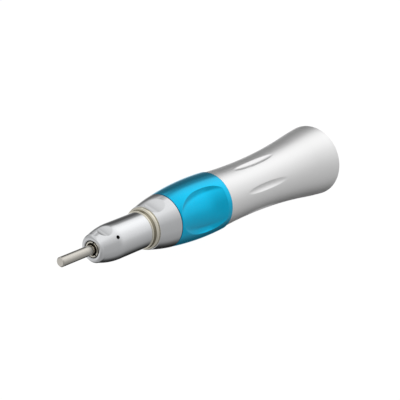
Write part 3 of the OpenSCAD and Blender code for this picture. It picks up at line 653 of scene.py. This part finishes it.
@dataclass(frozen=True)
class Wheel:
    """Base of the wheels that grind a form into a turned blank, as a Geometry Nodes tree.

    The tree moves each vertex in towards the axis as far as the wheel reaches, so a bore is left alone. Each
    field is one of its named inputs: the lengths are in mm, and the first copy's angle is in degrees.
    """

    count: int
    first_angle: float

    def sizes(self) -> dict[str, float]:
        """Works out the tree's inputs.

        Returns:
            The inputs by name, with lengths in metres and the angle in radians.
        """
        made = {entry.name: getattr(self, entry.name) * MM for entry in fields(self)}
        made.update(count=self.count, first_angle=math.radians(self.first_angle))
        return {name.replace("_", " ").capitalize(): amount for name, amount in made.items()}

    def cut_radius(self, size: dict[str, Value], height: Value, off: Value, radius: Value) -> Value:
        """Finds how deep the wheel cuts.

        Args:
            size: the tree's inputs, by name.
            height: the vertex's height.
            off: its angle from the middle of the nearest copy of the form.
            radius: its radius on the blank.

        Returns:
            The radius that the wheel leaves there.
        """
        raise NotImplementedError

    def grind(self, piece: Piece, finish: Finish) -> None:
        """Grinds the form into a piece, then turns the result into plain mesh.

        Args:
            piece: the turned blank.
            finish: what the tree coats it with.
        """
        sizes = self.sizes()
        tree = bpy.data.node_groups.new(f"{type(self).__name__}_{piece.name}", "GeometryNodeTree")
        add = tree.interface.new_socket
        add("Blank", in_out="INPUT", socket_type="NodeSocketGeometry")
        sockets = {name: add(name, in_out="INPUT", socket_type="NodeSocketFloat") for name in sizes}
        skin = add("Finish", in_out="INPUT", socket_type="NodeSocketMaterial")
        add("Ground piece", in_out="OUTPUT", socket_type="NodeSocketGeometry")
        graph = Graph(tree)
        entry = graph.node("NodeGroupInput")
        size = {name: Value(graph, entry.outputs[name]) for name in sizes}
        x, y, z = graph.split(graph.node("GeometryNodeInputPosition").outputs[0])
        radius = (y * y + z * z).to("SQRT")
        half = math.pi / size["Count"]
        off = ((-y).to("ARCTAN2", z) - size["First angle"]).to("WRAP", half, -half)
        left = self.cut_radius(size, -x, off, radius)
        share = radius.to("SMOOTH_MIN", left, size["Edge blend"]) / radius
        moved = graph.node("ShaderNodeCombineXYZ", None, {"X": x, "Y": y * share, "Z": z * share})
        placed = graph.node("GeometryNodeSetPosition", None,
                            {"Geometry": entry.outputs["Blank"], "Position": moved.outputs[0]})
        real = graph.node("GeometryNodeRealizeInstances", None, {"Geometry": placed.outputs[0]})
        dressed = graph.node("GeometryNodeSetMaterial", None,
                             {"Geometry": real.outputs[0], "Material": entry.outputs["Finish"]})
        graph.node("NodeGroupOutput", None, {"Ground piece": dressed.outputs[0]})
        grinder = piece.modifiers.new("grind", "NODES")
        grinder.node_group = tree
        for name, amount in sizes.items():
            grinder[sockets[name].identifier] = amount
        grinder[skin.identifier] = finish.material()
        bake(piece)


@dataclass(frozen=True)
class FlatWheel(Wheel):
    """Scooped flats, ground by a wheel whose axle lies across the handpiece."""

    distance: float
    wheel_radius: float
    height: float
    edge_blend: float = 0.05

    def cut_radius(self, size: dict[str, Value], height: Value, off: Value, radius: Value) -> Value:
        """The wheel's surface, met along the radius at that angle."""
        wheel = size["Wheel radius"]
        return (size["Distance"] + wheel - leg(wheel, height - size["Height"])) / cosine_of(off)


@dataclass(frozen=True)
class LeafWheel(Wheel):
    """Leaf-shaped grooves along the axis, ground by the round edge of a large wheel."""

    floor_radius: float
    wheel_radius: float
    section_radius: float
    height: float
    edge_blend: float = 0.06

    def cut_radius(self, size: dict[str, Value], height: Value, off: Value, radius: Value) -> Value:
        """The wheel's round edge, met along the radius at that angle.

        Args:
            size: the tree's inputs, by name.
            height: the vertex's height.
            off: its angle from the middle of the nearest groove.
            radius: its radius on the blank.

        Returns:
            The radius that the wheel leaves there.
        """
        section = leg(size["Section radius"], radius * off.to("SINE"))
        reach = size["Wheel radius"] - size["Section radius"] + section
        centre = size["Floor radius"] + size["Wheel radius"]
        return (centre - leg(reach, height - size["Height"])) / cosine_of(off)


@dataclass(frozen=True)
class PocketWheel(Wheel):
    """Finger pockets: a wheel with rounded edges shapes their sides, and a hollow arc their floor."""

    axle_distance: float
    wheel_radius: float
    edge_radius: float
    half_face: float
    widest_at: float
    floor_arc: float
    floor_centre_height: float
    floor_centre_radius: float
    foot_blend: float = 0.35
    edge_blend: float = 0.07

    def cut_radius(self, size: dict[str, Value], height: Value, off: Value, radius: Value) -> Value:
        """The higher of the pocket's sides and its floor, the sides found in closer and closer steps.

        Args:
            size: the tree's inputs, by name.
            height: the vertex's height.
            off: its angle from the middle of the nearest pocket.
            radius: its radius on the blank, where the steps start.

        Returns:
            The radius that the wheel leaves there.
        """
        across, swing = cosine_of(off), off.to("SINE").to("ABSOLUTE")
        along, edge = height - size["Widest at"], size["Edge radius"]
        side = radius
        for _ in range(POCKET_SIDE_ROUNDS):
            aside = (side * swing - size["Half face"]).to("MAXIMUM", 0.0)
            reach = size["Wheel radius"] - edge + leg(edge, aside)
            side = (size["Axle distance"] - leg(reach, along)) / across
        floor = size["Floor centre radius"] - leg(size["Floor arc"], height - size["Floor centre height"])
        return side.to("SMOOTH_MAX", floor, size["Foot blend"])


# ---------------------------------------------------------------- sub-assemblies

class Body(Enum):
    """The rigid bodies that remade pieces ride on."""

    CASING = "casing"
    GRIP = "grip"
    SPINDLE = "spindle"
    CHUCK = "chuck"
    DOG = "dog"
    SHANK = "shank"


def span(node: str) -> Pair:
    """The lowest and highest height of a CAD node, in mm."""
    low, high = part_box(node)
    return -high.x / MM, -low.x / MM


def radius_of(node: str) -> float:
    """The largest radius of a round CAD node, in mm."""
    low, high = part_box(node)
    return (high.y - low.y) / 2 / MM


def seat(piece: Piece, finish: Finish, body: Body, slot: str, *nodes: str,
         sharp_degrees: float = 40.0) -> None:
    """Shades a finished piece and gives it its finish and its place in the frame.

    Args:
        piece: the object, in place.
        finish: what it is made of.
        body: the body it rides on.
        slot: the record's material slot; not used.
        nodes: the CAD nodes that it stands for.
        sharp_degrees: an edge stays sharp where its faces turn more than this.
    """
    piece.data.shade_smooth()
    piece.data.set_sharp_from_angle(angle=math.radians(sharp_degrees))
    piece.data.materials.clear()
    piece.data.materials.append(finish.material())
    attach(piece, body.value)
    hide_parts(*nodes)
    LOG.info("%s: %d faces, rides on %s", piece.name, len(piece.data.polygons), body.value)


def recoat(piece: Piece, finish: Finish, inside: Callable[[Vector], bool]) -> None:
    """Gives part of a seated piece a second material, which paints shade there.

    Args:
        piece: the object.
        finish: the second material, a painted shade.
        inside: whether a face's centre, in metres, belongs to that part.
    """
    piece.data.materials.append(finish.material())
    for face in piece.data.polygons:
        if inside(face.center):
            face.material_index = 1


@dataclass
class NoseEnd:
    """Nose cap, seat ring and front casing: what the fingers hold nearest the instrument."""

    flat_count: int = 2
    first_flat: float = 17.0
    cap_bore: float = 3.5
    cap_land: float = 0.3
    cap_fillet: float = 0.06
    chamber: float = 2.75
    chamber_length: float = 3.1
    mouth: float = 2.08
    mouth_wall: float = 2.15
    mouth_dish: float = 0.26
    mouth_fillet: float = 0.04
    nose_short: float = 0.15
    nose_round: float = 1.1
    nose_steps: int = 16
    crown: float = 2.35
    ogive_arc: float = 19.0
    ogive_length: float = 7.15
    ogive_land: float = 0.2
    cap_flat: float = 3.6
    cap_wheel: float = 5.9
    cap_flat_back: float = 2.45
    spanner_angle: float = 57.0
    spanner_radius: float = 0.45
    spanner_back: float = 5.1
    spanner_depth: float = 0.65
    spanner_above: float = 1.0
    # Where the painted shade in the spanner hole and in the mouth's bore lies.
    bare_radius_margin: float = 0.002
    bare_depths: Pair = (0.04, 0.8)
    bare_mouth_margin: float = 0.01
    casing_small: float = 5.3
    casing_arc: float = 45.0
    casing_bore: float = 4.8
    casing_flat: float = 5.12
    casing_wheel: float = 9.3
    casing_land: float = 0.25
    casing_fillet: float = 0.1
    seat_bore: float = 4.17
    seat_small: float = 4.52
    seat_waist: float = 4.6
    seat_relief: float = 0.12
    relief_share: float = 0.6
    lip_section: float = 0.3
    lip_step: float = 0.02
    lip_sweep: Pair = (15.0, 165.0)
    foot_gap: float = 0.06
    foot_length: float = 0.25
    foot_rise: float = 1.6
    bead_radius: float = 4.66
    bead_section: float = 0.15
    bead_sweep: Pair = (40.0, 170.0)
    # Where the painted shade in the seat ring's hollow lies.
    hollow_height: float = 0.09
    hollow_ends: Pair = (0.12, 0.06)

    def build(self) -> None:
        """Builds the three pieces."""
        self.nose_cap()
        self.seat_ring()
        self.front_casing()

    def nose_cap(self) -> None:
        """The ogive cap, with its round mouth, its scooped flats and its spanner hole."""
        rear, front = span("nose_cap")
        radius = radius_of("nose_cap")
        tangent = front - self.ogive_length
        centre = radius - self.ogive_arc

        def ogive(height: float) -> float:
            """Radius of the ogive at a height."""
            return centre + math.sqrt(self.ogive_arc ** 2 - (height - tangent) ** 2)

        outline = Outline().corners((rear, self.cap_bore), (rear, radius))
        outline.curve(rear + self.cap_land, tangent, lambda height: radius, steps=12)
        outline.curve(tangent + self.ogive_land, front - self.nose_round, ogive, steps=76)
        shoulder = ogive(front - self.nose_round)
        for i in range(1, self.nose_steps + 1):
            swing = math.pi / 2 * i / self.nose_steps
            height = front - self.nose_short - (self.nose_round - self.nose_short) * (1 - math.sin(swing))
            outline.corners((height, self.crown + (shoulder - self.crown) * math.cos(swing)))
        edge = len(outline.points)
        wall = front - self.mouth_wall
        chamber_end = wall - self.chamber_length
        outline.corners((front - self.mouth_dish, self.mouth), (wall, self.mouth), (wall, self.chamber),
                        (chamber_end, self.chamber), (chamber_end, self.cap_bore))
        profile = outline.rounded({1: self.cap_fillet, edge: self.mouth_fillet})
        cap = turn("nose_cap_shell", profile, even_angles(count=360))
        wheel_at = front - self.cap_flat_back
        FlatWheel(self.flat_count, self.first_flat, self.cap_flat, self.cap_wheel, wheel_at).grind(
            cap, CHROME)
        hole = front - self.spanner_back
        bore_out(cap, self.spanner_bit(hole, radius))
        seat(cap, CHROME, Body.CASING, "chrome", "nose_cap")
        turned = math.radians(self.spanner_angle)
        axis = Vector((0, -math.sin(turned), math.cos(turned)))
        hole_mouth = Vector((-hole * MM, 0, 0)) + axis * radius * MM
        shallow, deep = self.bare_depths

        def bare(place: Vector) -> bool:
            """Tells the faces painted near-black as shade.

            Args:
                place: a face's centre.

            Returns:
                Whether it is in the spanner hole or in the mouth's bore.
            """
            along = (place - hole_mouth).dot(axis)
            aside = (place - hole_mouth - axis * along).length
            in_hole = aside < (self.spanner_radius + self.bare_radius_margin) * MM
            in_bore = math.hypot(place.y, place.z) < (self.mouth + self.bare_mouth_margin) * MM
            return (in_hole and -deep * MM < along < -shallow * MM
                    or in_bore and -place.x < (front - self.mouth_dish) * MM)

        # Painted shade: the spanner hole's inside and the mouth's bore are painted near-black.
        recoat(cap, PAINTED_BORE_SHADE, bare)

    def spanner_bit(self, height: float, radius: float) -> Piece:
        """Makes the bar that bores the spanner hole.

        Args:
            height: the hole's height.
            radius: the cap's radius there.

        Returns:
            The bar, in place.
        """
        bit = rod("spanner_bit", -self.spanner_above, self.spanner_depth, self.spanner_radius, columns=40)
        bit.data.transform(Matrix.Rotation(math.radians(self.spanner_angle), 4, "X")
                           @ Matrix.Translation((-height * MM, 0, radius * MM))
                           @ Matrix.Rotation(math.radians(-90), 4, "Y"))
        return bit

    def seat_ring(self) -> None:
        """The warm nickel ring: a round lip against the casing, a hollow and a bead beside the cap."""
        rear, front = span("seat_ring")
        lip = (rear + self.seat_relief + self.lip_section, radius_of("seat_ring") - self.lip_section)
        bead = (front - self.bead_section, self.bead_radius - self.bead_section)
        foot = lip[0] + self.lip_section + self.foot_gap
        waist = foot + self.foot_length
        step = lip[1] - self.lip_step
        outline = Outline().corners((rear, self.seat_bore), (rear, step),
                                    (rear + self.seat_relief * self.relief_share, step))
        outline.bead(lip, self.lip_section, self.lip_sweep)
        outline.curve(foot, waist, steps=5,
                      radius=lambda height: self.seat_waist + self.foot_rise * (waist - height) ** 2)
        outline.bead(bead, self.bead_section, self.bead_sweep)
        outline.corners((front, self.seat_small), (front, self.seat_bore))
        ring = turn("seat_ring_turned", outline.points, even_angles(count=288))
        seat(ring, NICKEL, Body.CASING, "nickel", "seat_ring")
        # Painted shade: the hollow between the lip and the bead gets the darker nickel.
        start, end = foot - self.hollow_ends[0], bead[0] - self.hollow_ends[1]
        recoat(ring, PAINTED_HOLLOW_SHADE, lambda place: start < -place.x / MM < end
               and math.hypot(place.y, place.z) < (self.seat_waist + self.hollow_height) * MM)

    def front_casing(self) -> None:
        """The full-curved casing with its two spanner flats."""
        rear, front = span("front_casing")
        large = radius_of("front_casing")
        chord = math.dist((rear, large), (front, self.casing_small))
        offset = math.sqrt(self.casing_arc ** 2 - (chord / 2) ** 2)
        along = ((front - rear) / chord, (self.casing_small - large) / chord)
        centre = ((rear + front) / 2 + along[1] * offset, (large + self.casing_small) / 2 - along[0] * offset)

        def full(height: float) -> float:
            """Radius of the casing at a height."""
            return centre[1] + math.sqrt(self.casing_arc ** 2 - (height - centre[0]) ** 2)

        outline = Outline().corners((rear, self.casing_bore), (rear, full(rear)))
        outline.curve(rear + self.casing_land, front - self.casing_land, full, steps=72)
        edge = len(outline.points)
        outline.corners((front, full(front)), (front, self.casing_bore))
        profile = outline.rounded({1: self.casing_fillet, edge: self.casing_fillet})
        casing = turn("front_casing_shell", profile, even_angles(count=400))
        FlatWheel(self.flat_count, self.first_flat, self.casing_flat, self.casing_wheel, front).grind(
            casing, CHROME)
        seat(casing, CHROME, Body.CASING, "chrome", "front_casing")


@dataclass
class TwistGrip:
    """The blue ring with its finger pockets, which turns to open the chuck."""

    bore: float = 5.65
    sleeve_bore: float = 6.14
    sleeve_end: float = 13.6
    peak: float = 4.2
    arc: float = 92.5
    land_end: float = 0.3
    rear_fillet: float = 0.2
    front_fillet: float = 0.18
    pocket_count: int = 2
    pocket_angle: float = 77.0
    depth: float = 0.95
    half_angle: float = 45.0
    lean: float = 20.0
    wide: float = 9.7
    rear_back: float = 1.6
    front_back: float = 0.5
    wheel: float = 25.0
    wheel_edge: float = 1.6
    # Widths of the painted shade at the ring's rear and front ends.
    rear_joint: float = 0.17
    front_joint: float = 0.15

    def build(self) -> None:
        """Turns the ring and grinds its pockets."""
        rear, front = span("grip_ring")
        largest = radius_of("grip_ring")

        def land(height: float) -> float:
            """Radius of the lands at a height."""
            return largest - self.arc + math.sqrt(self.arc ** 2 - (height - rear - self.peak) ** 2)

        outline = Outline().corners((rear, self.sleeve_bore), (rear, land(rear)))
        outline.curve(rear + self.land_end, front - self.land_end, land, steps=158)
        edge = len(outline.points)
        sleeve_end = rear + self.sleeve_end
        outline.corners((front, land(front)), (front, self.bore), (sleeve_end, self.bore),
                        (sleeve_end, self.sleeve_bore))
        profile = outline.rounded({1: self.rear_fillet, edge: self.front_fillet})
        ring = turn("twist_grip_ring", profile, even_angles(count=504))
        self.pocket_wheel(land, rear, front).grind(ring, BLUE)
        seat(ring, BLUE, Body.GRIP, "blue_anodise", "grip_ring")
        # Painted shade: the ring's two ends are painted dark blue.
        recoat(ring, PAINTED_JOINT_SHADE,
               lambda place: not rear + self.rear_joint < -place.x / MM < front - self.front_joint)

    def pocket_wheel(self, land: Callable[[float], float], rear: float, front: float) -> PocketWheel:
        """The wheel and floor that fit the ring.

        Args:
            land: the ring's outer radius by height.
            rear: height of the ring's rear edge.
            front: height of the ring's front edge.

        Returns:
            The grinder, ready for the ring.
        """
        start, end = rear + self.rear_back, front - self.front_back
        middle, radius = (start + end) / 2, (land(start) + land(end)) / 2
        half = math.dist((start, land(start)), (end, land(end))) / 2
        sag = self.depth - land(middle) + radius
        arc = (half ** 2 + sag ** 2) / (2 * sag)
        outward = ((land(start) - land(end)) / (2 * half), (end - start) / (2 * half))
        wide = rear + self.wide
        open_by, lean = math.radians(self.half_angle), math.radians(self.lean)
        half_face = land(wide) * math.sin(open_by) - self.wheel_edge * math.sin(lean)
        axle = land(wide) * math.cos(open_by) + self.wheel_edge * (math.cos(lean) - 1) + self.wheel
        centre = (middle + outward[0] * (arc - sag), radius + outward[1] * (arc - sag))
        return PocketWheel(self.pocket_count, self.pocket_angle, axle, self.wheel, self.wheel_edge, half_face,
                           wide, arc, *centre)


@dataclass
class RearHousing:
    """The waisted housing that flares out to the motor, with its leaf grooves."""

    waist: float = 6.88
    waist_height: float = 32.6
    flare_height: float = 7.8
    arc_rounds: int = 6
    rim_land: float = 0.5
    rim_fillet: float = 0.25
    front_land: float = 0.3
    front_fillet: float = 0.1
    leaf_count: int = 6
    first_leaf: float = 17.0
    leaf_height: float = 30.0
    leaf_half: float = 8.2
    leaf_land: float = 0.4
    leaf_fan: float = 12.0
    leaf_depth: float = 0.38
    leaf_section: float = 1.46
    leaf_wheel: float = 54.0
    collar_bore: float = 8.2
    collar_depth: float = 3.0
    collar_fillet: float = 0.15
    recess_bore: float = 7.4
    recess_depth: float = 2.5
    sleeve_bore: float = 5.6
    neck_bore: float = 3.2
    frame_bore: float = 5.62
    index_at: float = 6.5
    index_bore: float = 0.72
    index_depth: float = 2.5
    index_above: float = 0.5

    def s_arc(self, rim: float) -> float:
        """Radius of the two equal arcs of the housing's S-shaped outline.

        Args:
            rim: the housing's radius at its mouth.

        Returns:
            The radius, found in closer and closer steps.
        """
        drop, flare = self.waist_height - self.flare_height, self.waist_height - 2 * self.flare_height
        rho = (drop ** 2 - flare ** 2 / 2) / (rim - self.waist)
        for _ in range(self.arc_rounds):
            rise = rho - 2 * math.sqrt(rho ** 2 - drop ** 2) + math.sqrt(rho ** 2 - flare ** 2)
            rho *= rise / (rim - self.waist)
        return rho

    def build(self) -> None:
        """Turns the housing, grinds its leaves and bores the index pin's hole."""
        front = span("rear_housing")[1]
        sleeve_end = span("motor_sleeve")[1]
        frame_start = span("inner_frame")[0]
        rho = self.s_arc(radius_of("rear_housing"))
        drop = self.waist_height - self.flare_height
        flare_centre = (self.waist_height - 2 * drop, self.waist + rho - 2 * math.sqrt(rho ** 2 - drop ** 2))

        def skin(height: float) -> float:
            """Finds the outside's radius.

            Args:
                height: where it is wanted.

            Returns:
                The radius of the round flare, or of the hollow waist in front of it.
            """
            if height < self.flare_height:
                return flare_centre[1] + math.sqrt(rho ** 2 - (height - flare_centre[0]) ** 2)
            return self.waist + rho - math.sqrt(rho ** 2 - (height - self.waist_height) ** 2)

        recess_floor = self.collar_depth + self.recess_depth
        leaf_start, leaf_end = self.leaf_height - self.leaf_half, self.leaf_height + self.leaf_half
        outline = Outline().corners((0.0, self.collar_bore), (0.0, skin(0.0)))
        outline.curve(self.rim_land, leaf_start - self.leaf_land, skin, steps=40)
        outline.curve(leaf_start, leaf_end, skin, steps=140)
        outline.curve(leaf_end + self.leaf_land, front - self.front_land, skin, steps=12)
        edge = len(outline.points)
        outline.corners((front, skin(front)), (front, self.frame_bore), (frame_start, self.frame_bore),
                        (frame_start, self.neck_bore), (sleeve_end, self.neck_bore),
                        (sleeve_end, self.sleeve_bore), (recess_floor, self.sleeve_bore),
                        (recess_floor, self.recess_bore), (self.collar_depth, self.recess_bore),
                        (self.collar_depth, self.collar_bore))
        profile = outline.rounded({0: self.collar_fillet, 1: self.rim_fillet, edge: self.front_fillet})
        angles = repeated_angles(self.first_leaf, self.leaf_count, self.leaf_fan, fine=28, coarse=14)
        housing = turn("rear_housing_shell", profile, angles)
        LeafWheel(self.leaf_count, self.first_leaf, self.waist - self.leaf_depth, self.leaf_wheel,
                  self.leaf_section, self.leaf_height).grind(housing, PEARL)
        bore_out(housing, self.index_bit(recess_floor))
        seat(housing, PEARL, Body.CASING, "satin_chrome", "rear_housing")

    def index_bit(self, floor: float) -> Piece:
        """Makes the bar that bores the index pin's hole.

        Args:
            floor: height of the recess's floor, where the hole starts.

        Returns:
            The bar, in place.
        """
        start, end = floor - self.index_above, floor + self.index_depth
        bit = rod("index_bit", start, end, self.index_bore, columns=48)
        bit.data.transform(Matrix.Translation((0, 0, self.index_at * MM)))
        return bit


@dataclass
class Instrument:
    """The plain shank held in the nose."""

    chamfer: float = 0.22
    rear_land: float = 1.0
    front_land: float = 0.1
    tip_fillets: Pair = (0.04, 0.05)
    sharp_degrees: float = 50.0

    def build(self) -> None:
        """Turns the shank."""
        rear, front = span("shank")
        radius = radius_of("shank")
        tip = front - self.chamfer
        outline = Outline().corners((rear, 0.0), (rear, radius))
        outline.curve(rear + self.rear_land, tip - self.front_land, lambda height: radius, steps=20)
        edge = len(outline.points)
        outline.corners((tip, radius), (front, radius - self.chamfer), (front, 0.0))
        profile = outline.rounded(dict(enumerate(self.tip_fillets, start=edge)))
        pin = turn("shank_pin", profile, even_angles(count=96), closed=False)
        seat(pin, SHANK, Body.SHANK, "shank_steel", "shank", sharp_degrees=self.sharp_degrees)


@dataclass
class Springs:
    """The two coil springs, as rigid copies of their CAD nodes."""

    nodes: dict[str, Piece]

    def build(self) -> None:
        """Makes both springs."""
        self.coil("chuck_spring", Body.CHUCK)
        self.coil("dog_spring", Body.DOG)

    def coil(self, name: str, pushed: Body) -> None:
        """A rigid copy of a spring's CAD node, which stands in its place.

        Args:
            name: the spring's CAD node.
            pushed: the body at its rear end.
        """
        piece = stand(f"{name}_coil", self.nodes[name].data.copy())
        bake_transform(piece)
        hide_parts(name)
        LOG.info("%s: closes up between spindle and %s", piece.name, pushed.value)


def dress_frame(frame: dict) -> None:
    """Gives every CAD node its slot's finish, for those that stay to be seen.

    Args:
        frame: the loaded frame.
    """
    slots = {part["node"]: part["material_slot"] for part in frame["record"]["subparts"]}
    for name, node in frame["nodes"].items():
        finish = NODE_FINISH.get(name, SLOT_FINISH[slots[name]])
        node.data.materials.clear()
        node.data.materials.append(finish.material())
    LOG.info("dressed %d CAD nodes", len(frame["nodes"]))


# ---------------------------------------------------------------- studio

@dataclass
class Studio:
    """Floor, light and camera.

    A ring of tones gives the tent's brightness by the direction round the axis, in degrees from +Y towards
    +Z. Which ring counts goes by how far a reflection looks towards the nose (-1) or the motor end (1).
    """

    camera_offset: Place = (-187.57, -189.64, 105.43)
    camera_forward: Place = (0.7375, 0.592, -0.325)
    lens: float = 117.8
    sensor: float = 36.0
    clip: Pair = (0.01, 20.0)
    floor_size: float = 6.0
    floor_gap: float = 0.03
    floor_colour: Colour = (0.05, 0.05, 0.05)
    floor_glow: float = 0.99
    motor_step: Pair = (0.50, 0.64)
    nose_step: Pair = (0.2, -0.2)
    end_step: Pair = (0.88, 0.99)
    end_tone: float = 0.55
    side_tones: tuple[Pair, ...] = (
        (0, 0.40), (10, 0.16), (20, 0.12), (30, 0.092), (40, 0.12), (50, 0.25), (57, 0.32),
        (63, 0.56), (68, 0.83), (75, 1.02), (90, 1.18), (100, 1.20), (110, 1.17), (120, 1.12),
        (130, 1.03), (140, 0.95), (155, 0.85), (170, 0.74), (185, 0.59), (200, 0.50), (220, 0.42),
        (240, 0.34), (250, 0.26), (260, 0.17), (270, 0.10), (280, 0.04), (290, 0.015), (303, 0.02),
        (312, 0.20), (320, 1.1), (346, 1.1), (354, 0.7))
    nose_tones: tuple[Pair, ...] = (
        (0, 0.40), (10, 0.18), (20, 0.30), (30, 0.54), (40, 0.60), (50, 0.88), (60, 0.50),
        (70, 0.58), (80, 0.96), (100, 0.98), (115, 0.97), (125, 0.93), (135, 0.80), (145, 0.70),
        (155, 0.62), (170, 0.49), (190, 0.45), (210, 0.43), (230, 0.365), (245, 0.33), (255, 0.24),
        (265, 0.12), (275, 0.05), (290, 0.02), (303, 0.02), (312, 0.20), (320, 0.9), (350, 0.6))
    front_tones: tuple[Pair, ...] = (
        (0, 0.50), (30, 0.50), (50, 0.80), (70, 0.75), (90, 0.98), (120, 0.95), (135, 0.80),
        (155, 0.62), (190, 0.47), (230, 0.39), (260, 0.34), (290, 0.36), (312, 0.55), (330, 0.80),
        (350, 0.60))

    def build(self) -> None:
        """Builds the whole studio round the finished object."""
        self.camera()
        self.floor()
        self.light()

    def camera(self) -> None:
        """The camera, placed from the shank's tip."""
        tip = Vector((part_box("shank")[0].x, 0.0, 0.0))
        data = bpy.data.cameras.new("camera")
        data.lens = self.lens
        data.sensor_width = self.sensor
        data.clip_start, data.clip_end = self.clip
        camera = stand("camera", data)
        forward = Vector(self.camera_forward).normalized()
        right = forward.cross(Vector((0, 0, 1))).normalized()
        up = right.cross(forward)
        turn_to = Matrix((right, up, -forward)).transposed().to_4x4()
        camera.matrix_world = Matrix.Translation(tip + Vector(self.camera_offset) * MM) @ turn_to
        bpy.context.scene.camera = camera

    def floor(self) -> None:
        """A plain white floor just under the rim."""
        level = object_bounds()[0].z - self.floor_gap * MM
        half = self.floor_size / 2
        mesh = bpy.data.meshes.new("floor")
        corners = [(-half, -half, level), (half, -half, level), (half, half, level), (-half, half, level)]
        mesh.from_pydata(corners, [], [(0, 1, 2, 3)])
        floor = stand("floor", mesh)
        paint = bpy.data.materials.new("floor_paint")
        graph = Graph.emptied(paint)
        matt = graph.node("ShaderNodeBsdfDiffuse", None, {"Color": self.floor_colour})
        glow = graph.node("ShaderNodeEmission", None, {"Color": WHITE, "Strength": self.floor_glow})
        both = graph.node("ShaderNodeAddShader", None, {0: matt.outputs[0], 1: glow.outputs[0]})
        graph.node("ShaderNodeOutputMaterial", None, {"Surface": both.outputs[0]})
        mesh.materials.append(paint)
        floor.visible_glossy = False
        floor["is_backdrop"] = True

    def light(self) -> None:
        """A light tent whose brightness changes with the height and side that a reflection looks at."""
        world = bpy.data.worlds.new("light_tent")
        graph = Graph.emptied(world)
        x, y, z = graph.split(graph.node("ShaderNodeTexCoord").outputs["Generated"])
        round_axis = (z.to("ARCTAN2", y) / (2 * math.pi)).to("WRAP", 1.0, 0.0)
        side, nose, front = (self.ring(graph, round_axis, tones)
                             for tones in (self.side_tones, self.nose_tones, self.front_tones))
        fore = graph.mix(MixKind.NUMBERS, graph.step(x, *self.nose_step), nose, front)
        wall = graph.mix(MixKind.NUMBERS, graph.step(x, *self.motor_step), fore, side)
        tone = graph.mix(MixKind.NUMBERS, graph.step(x.to("ABSOLUTE"), *self.end_step), wall, self.end_tone)
        glow = graph.node("ShaderNodeBackground", None, {"Color": WHITE, "Strength": tone})
        graph.node("ShaderNodeOutputWorld", None, {"Surface": glow.outputs[0]})
        bpy.context.scene.world = world
        bpy.context.scene.view_settings.view_transform = "Standard"

    @staticmethod
    def ring(graph: Graph, round_axis: Value, tones: Sequence[Pair]) -> Socket:
        """One ring of the tent: its brightness by the direction round the handpiece's axis."""
        stops = [(degrees / 360, (tone,) * 3) for degrees, tone in tones]
        return graph.node("ShaderNodeValToRGB", {"stops": stops}, {"Fac": round_axis}).outputs["Color"]


def main() -> None:
    """Builds the handpiece piece by piece."""
    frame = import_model()
    dress_frame(frame)
    for assembly in (NoseEnd(), TwistGrip(), RearHousing(), Instrument(), Springs(frame["nodes"]), Studio()):
        assembly.build()
        LOG.info("%s done", type(assembly).__name__)


if __name__ == "__main__":
    logging.basicConfig(level=logging.INFO, format="%(message)s")
    main()
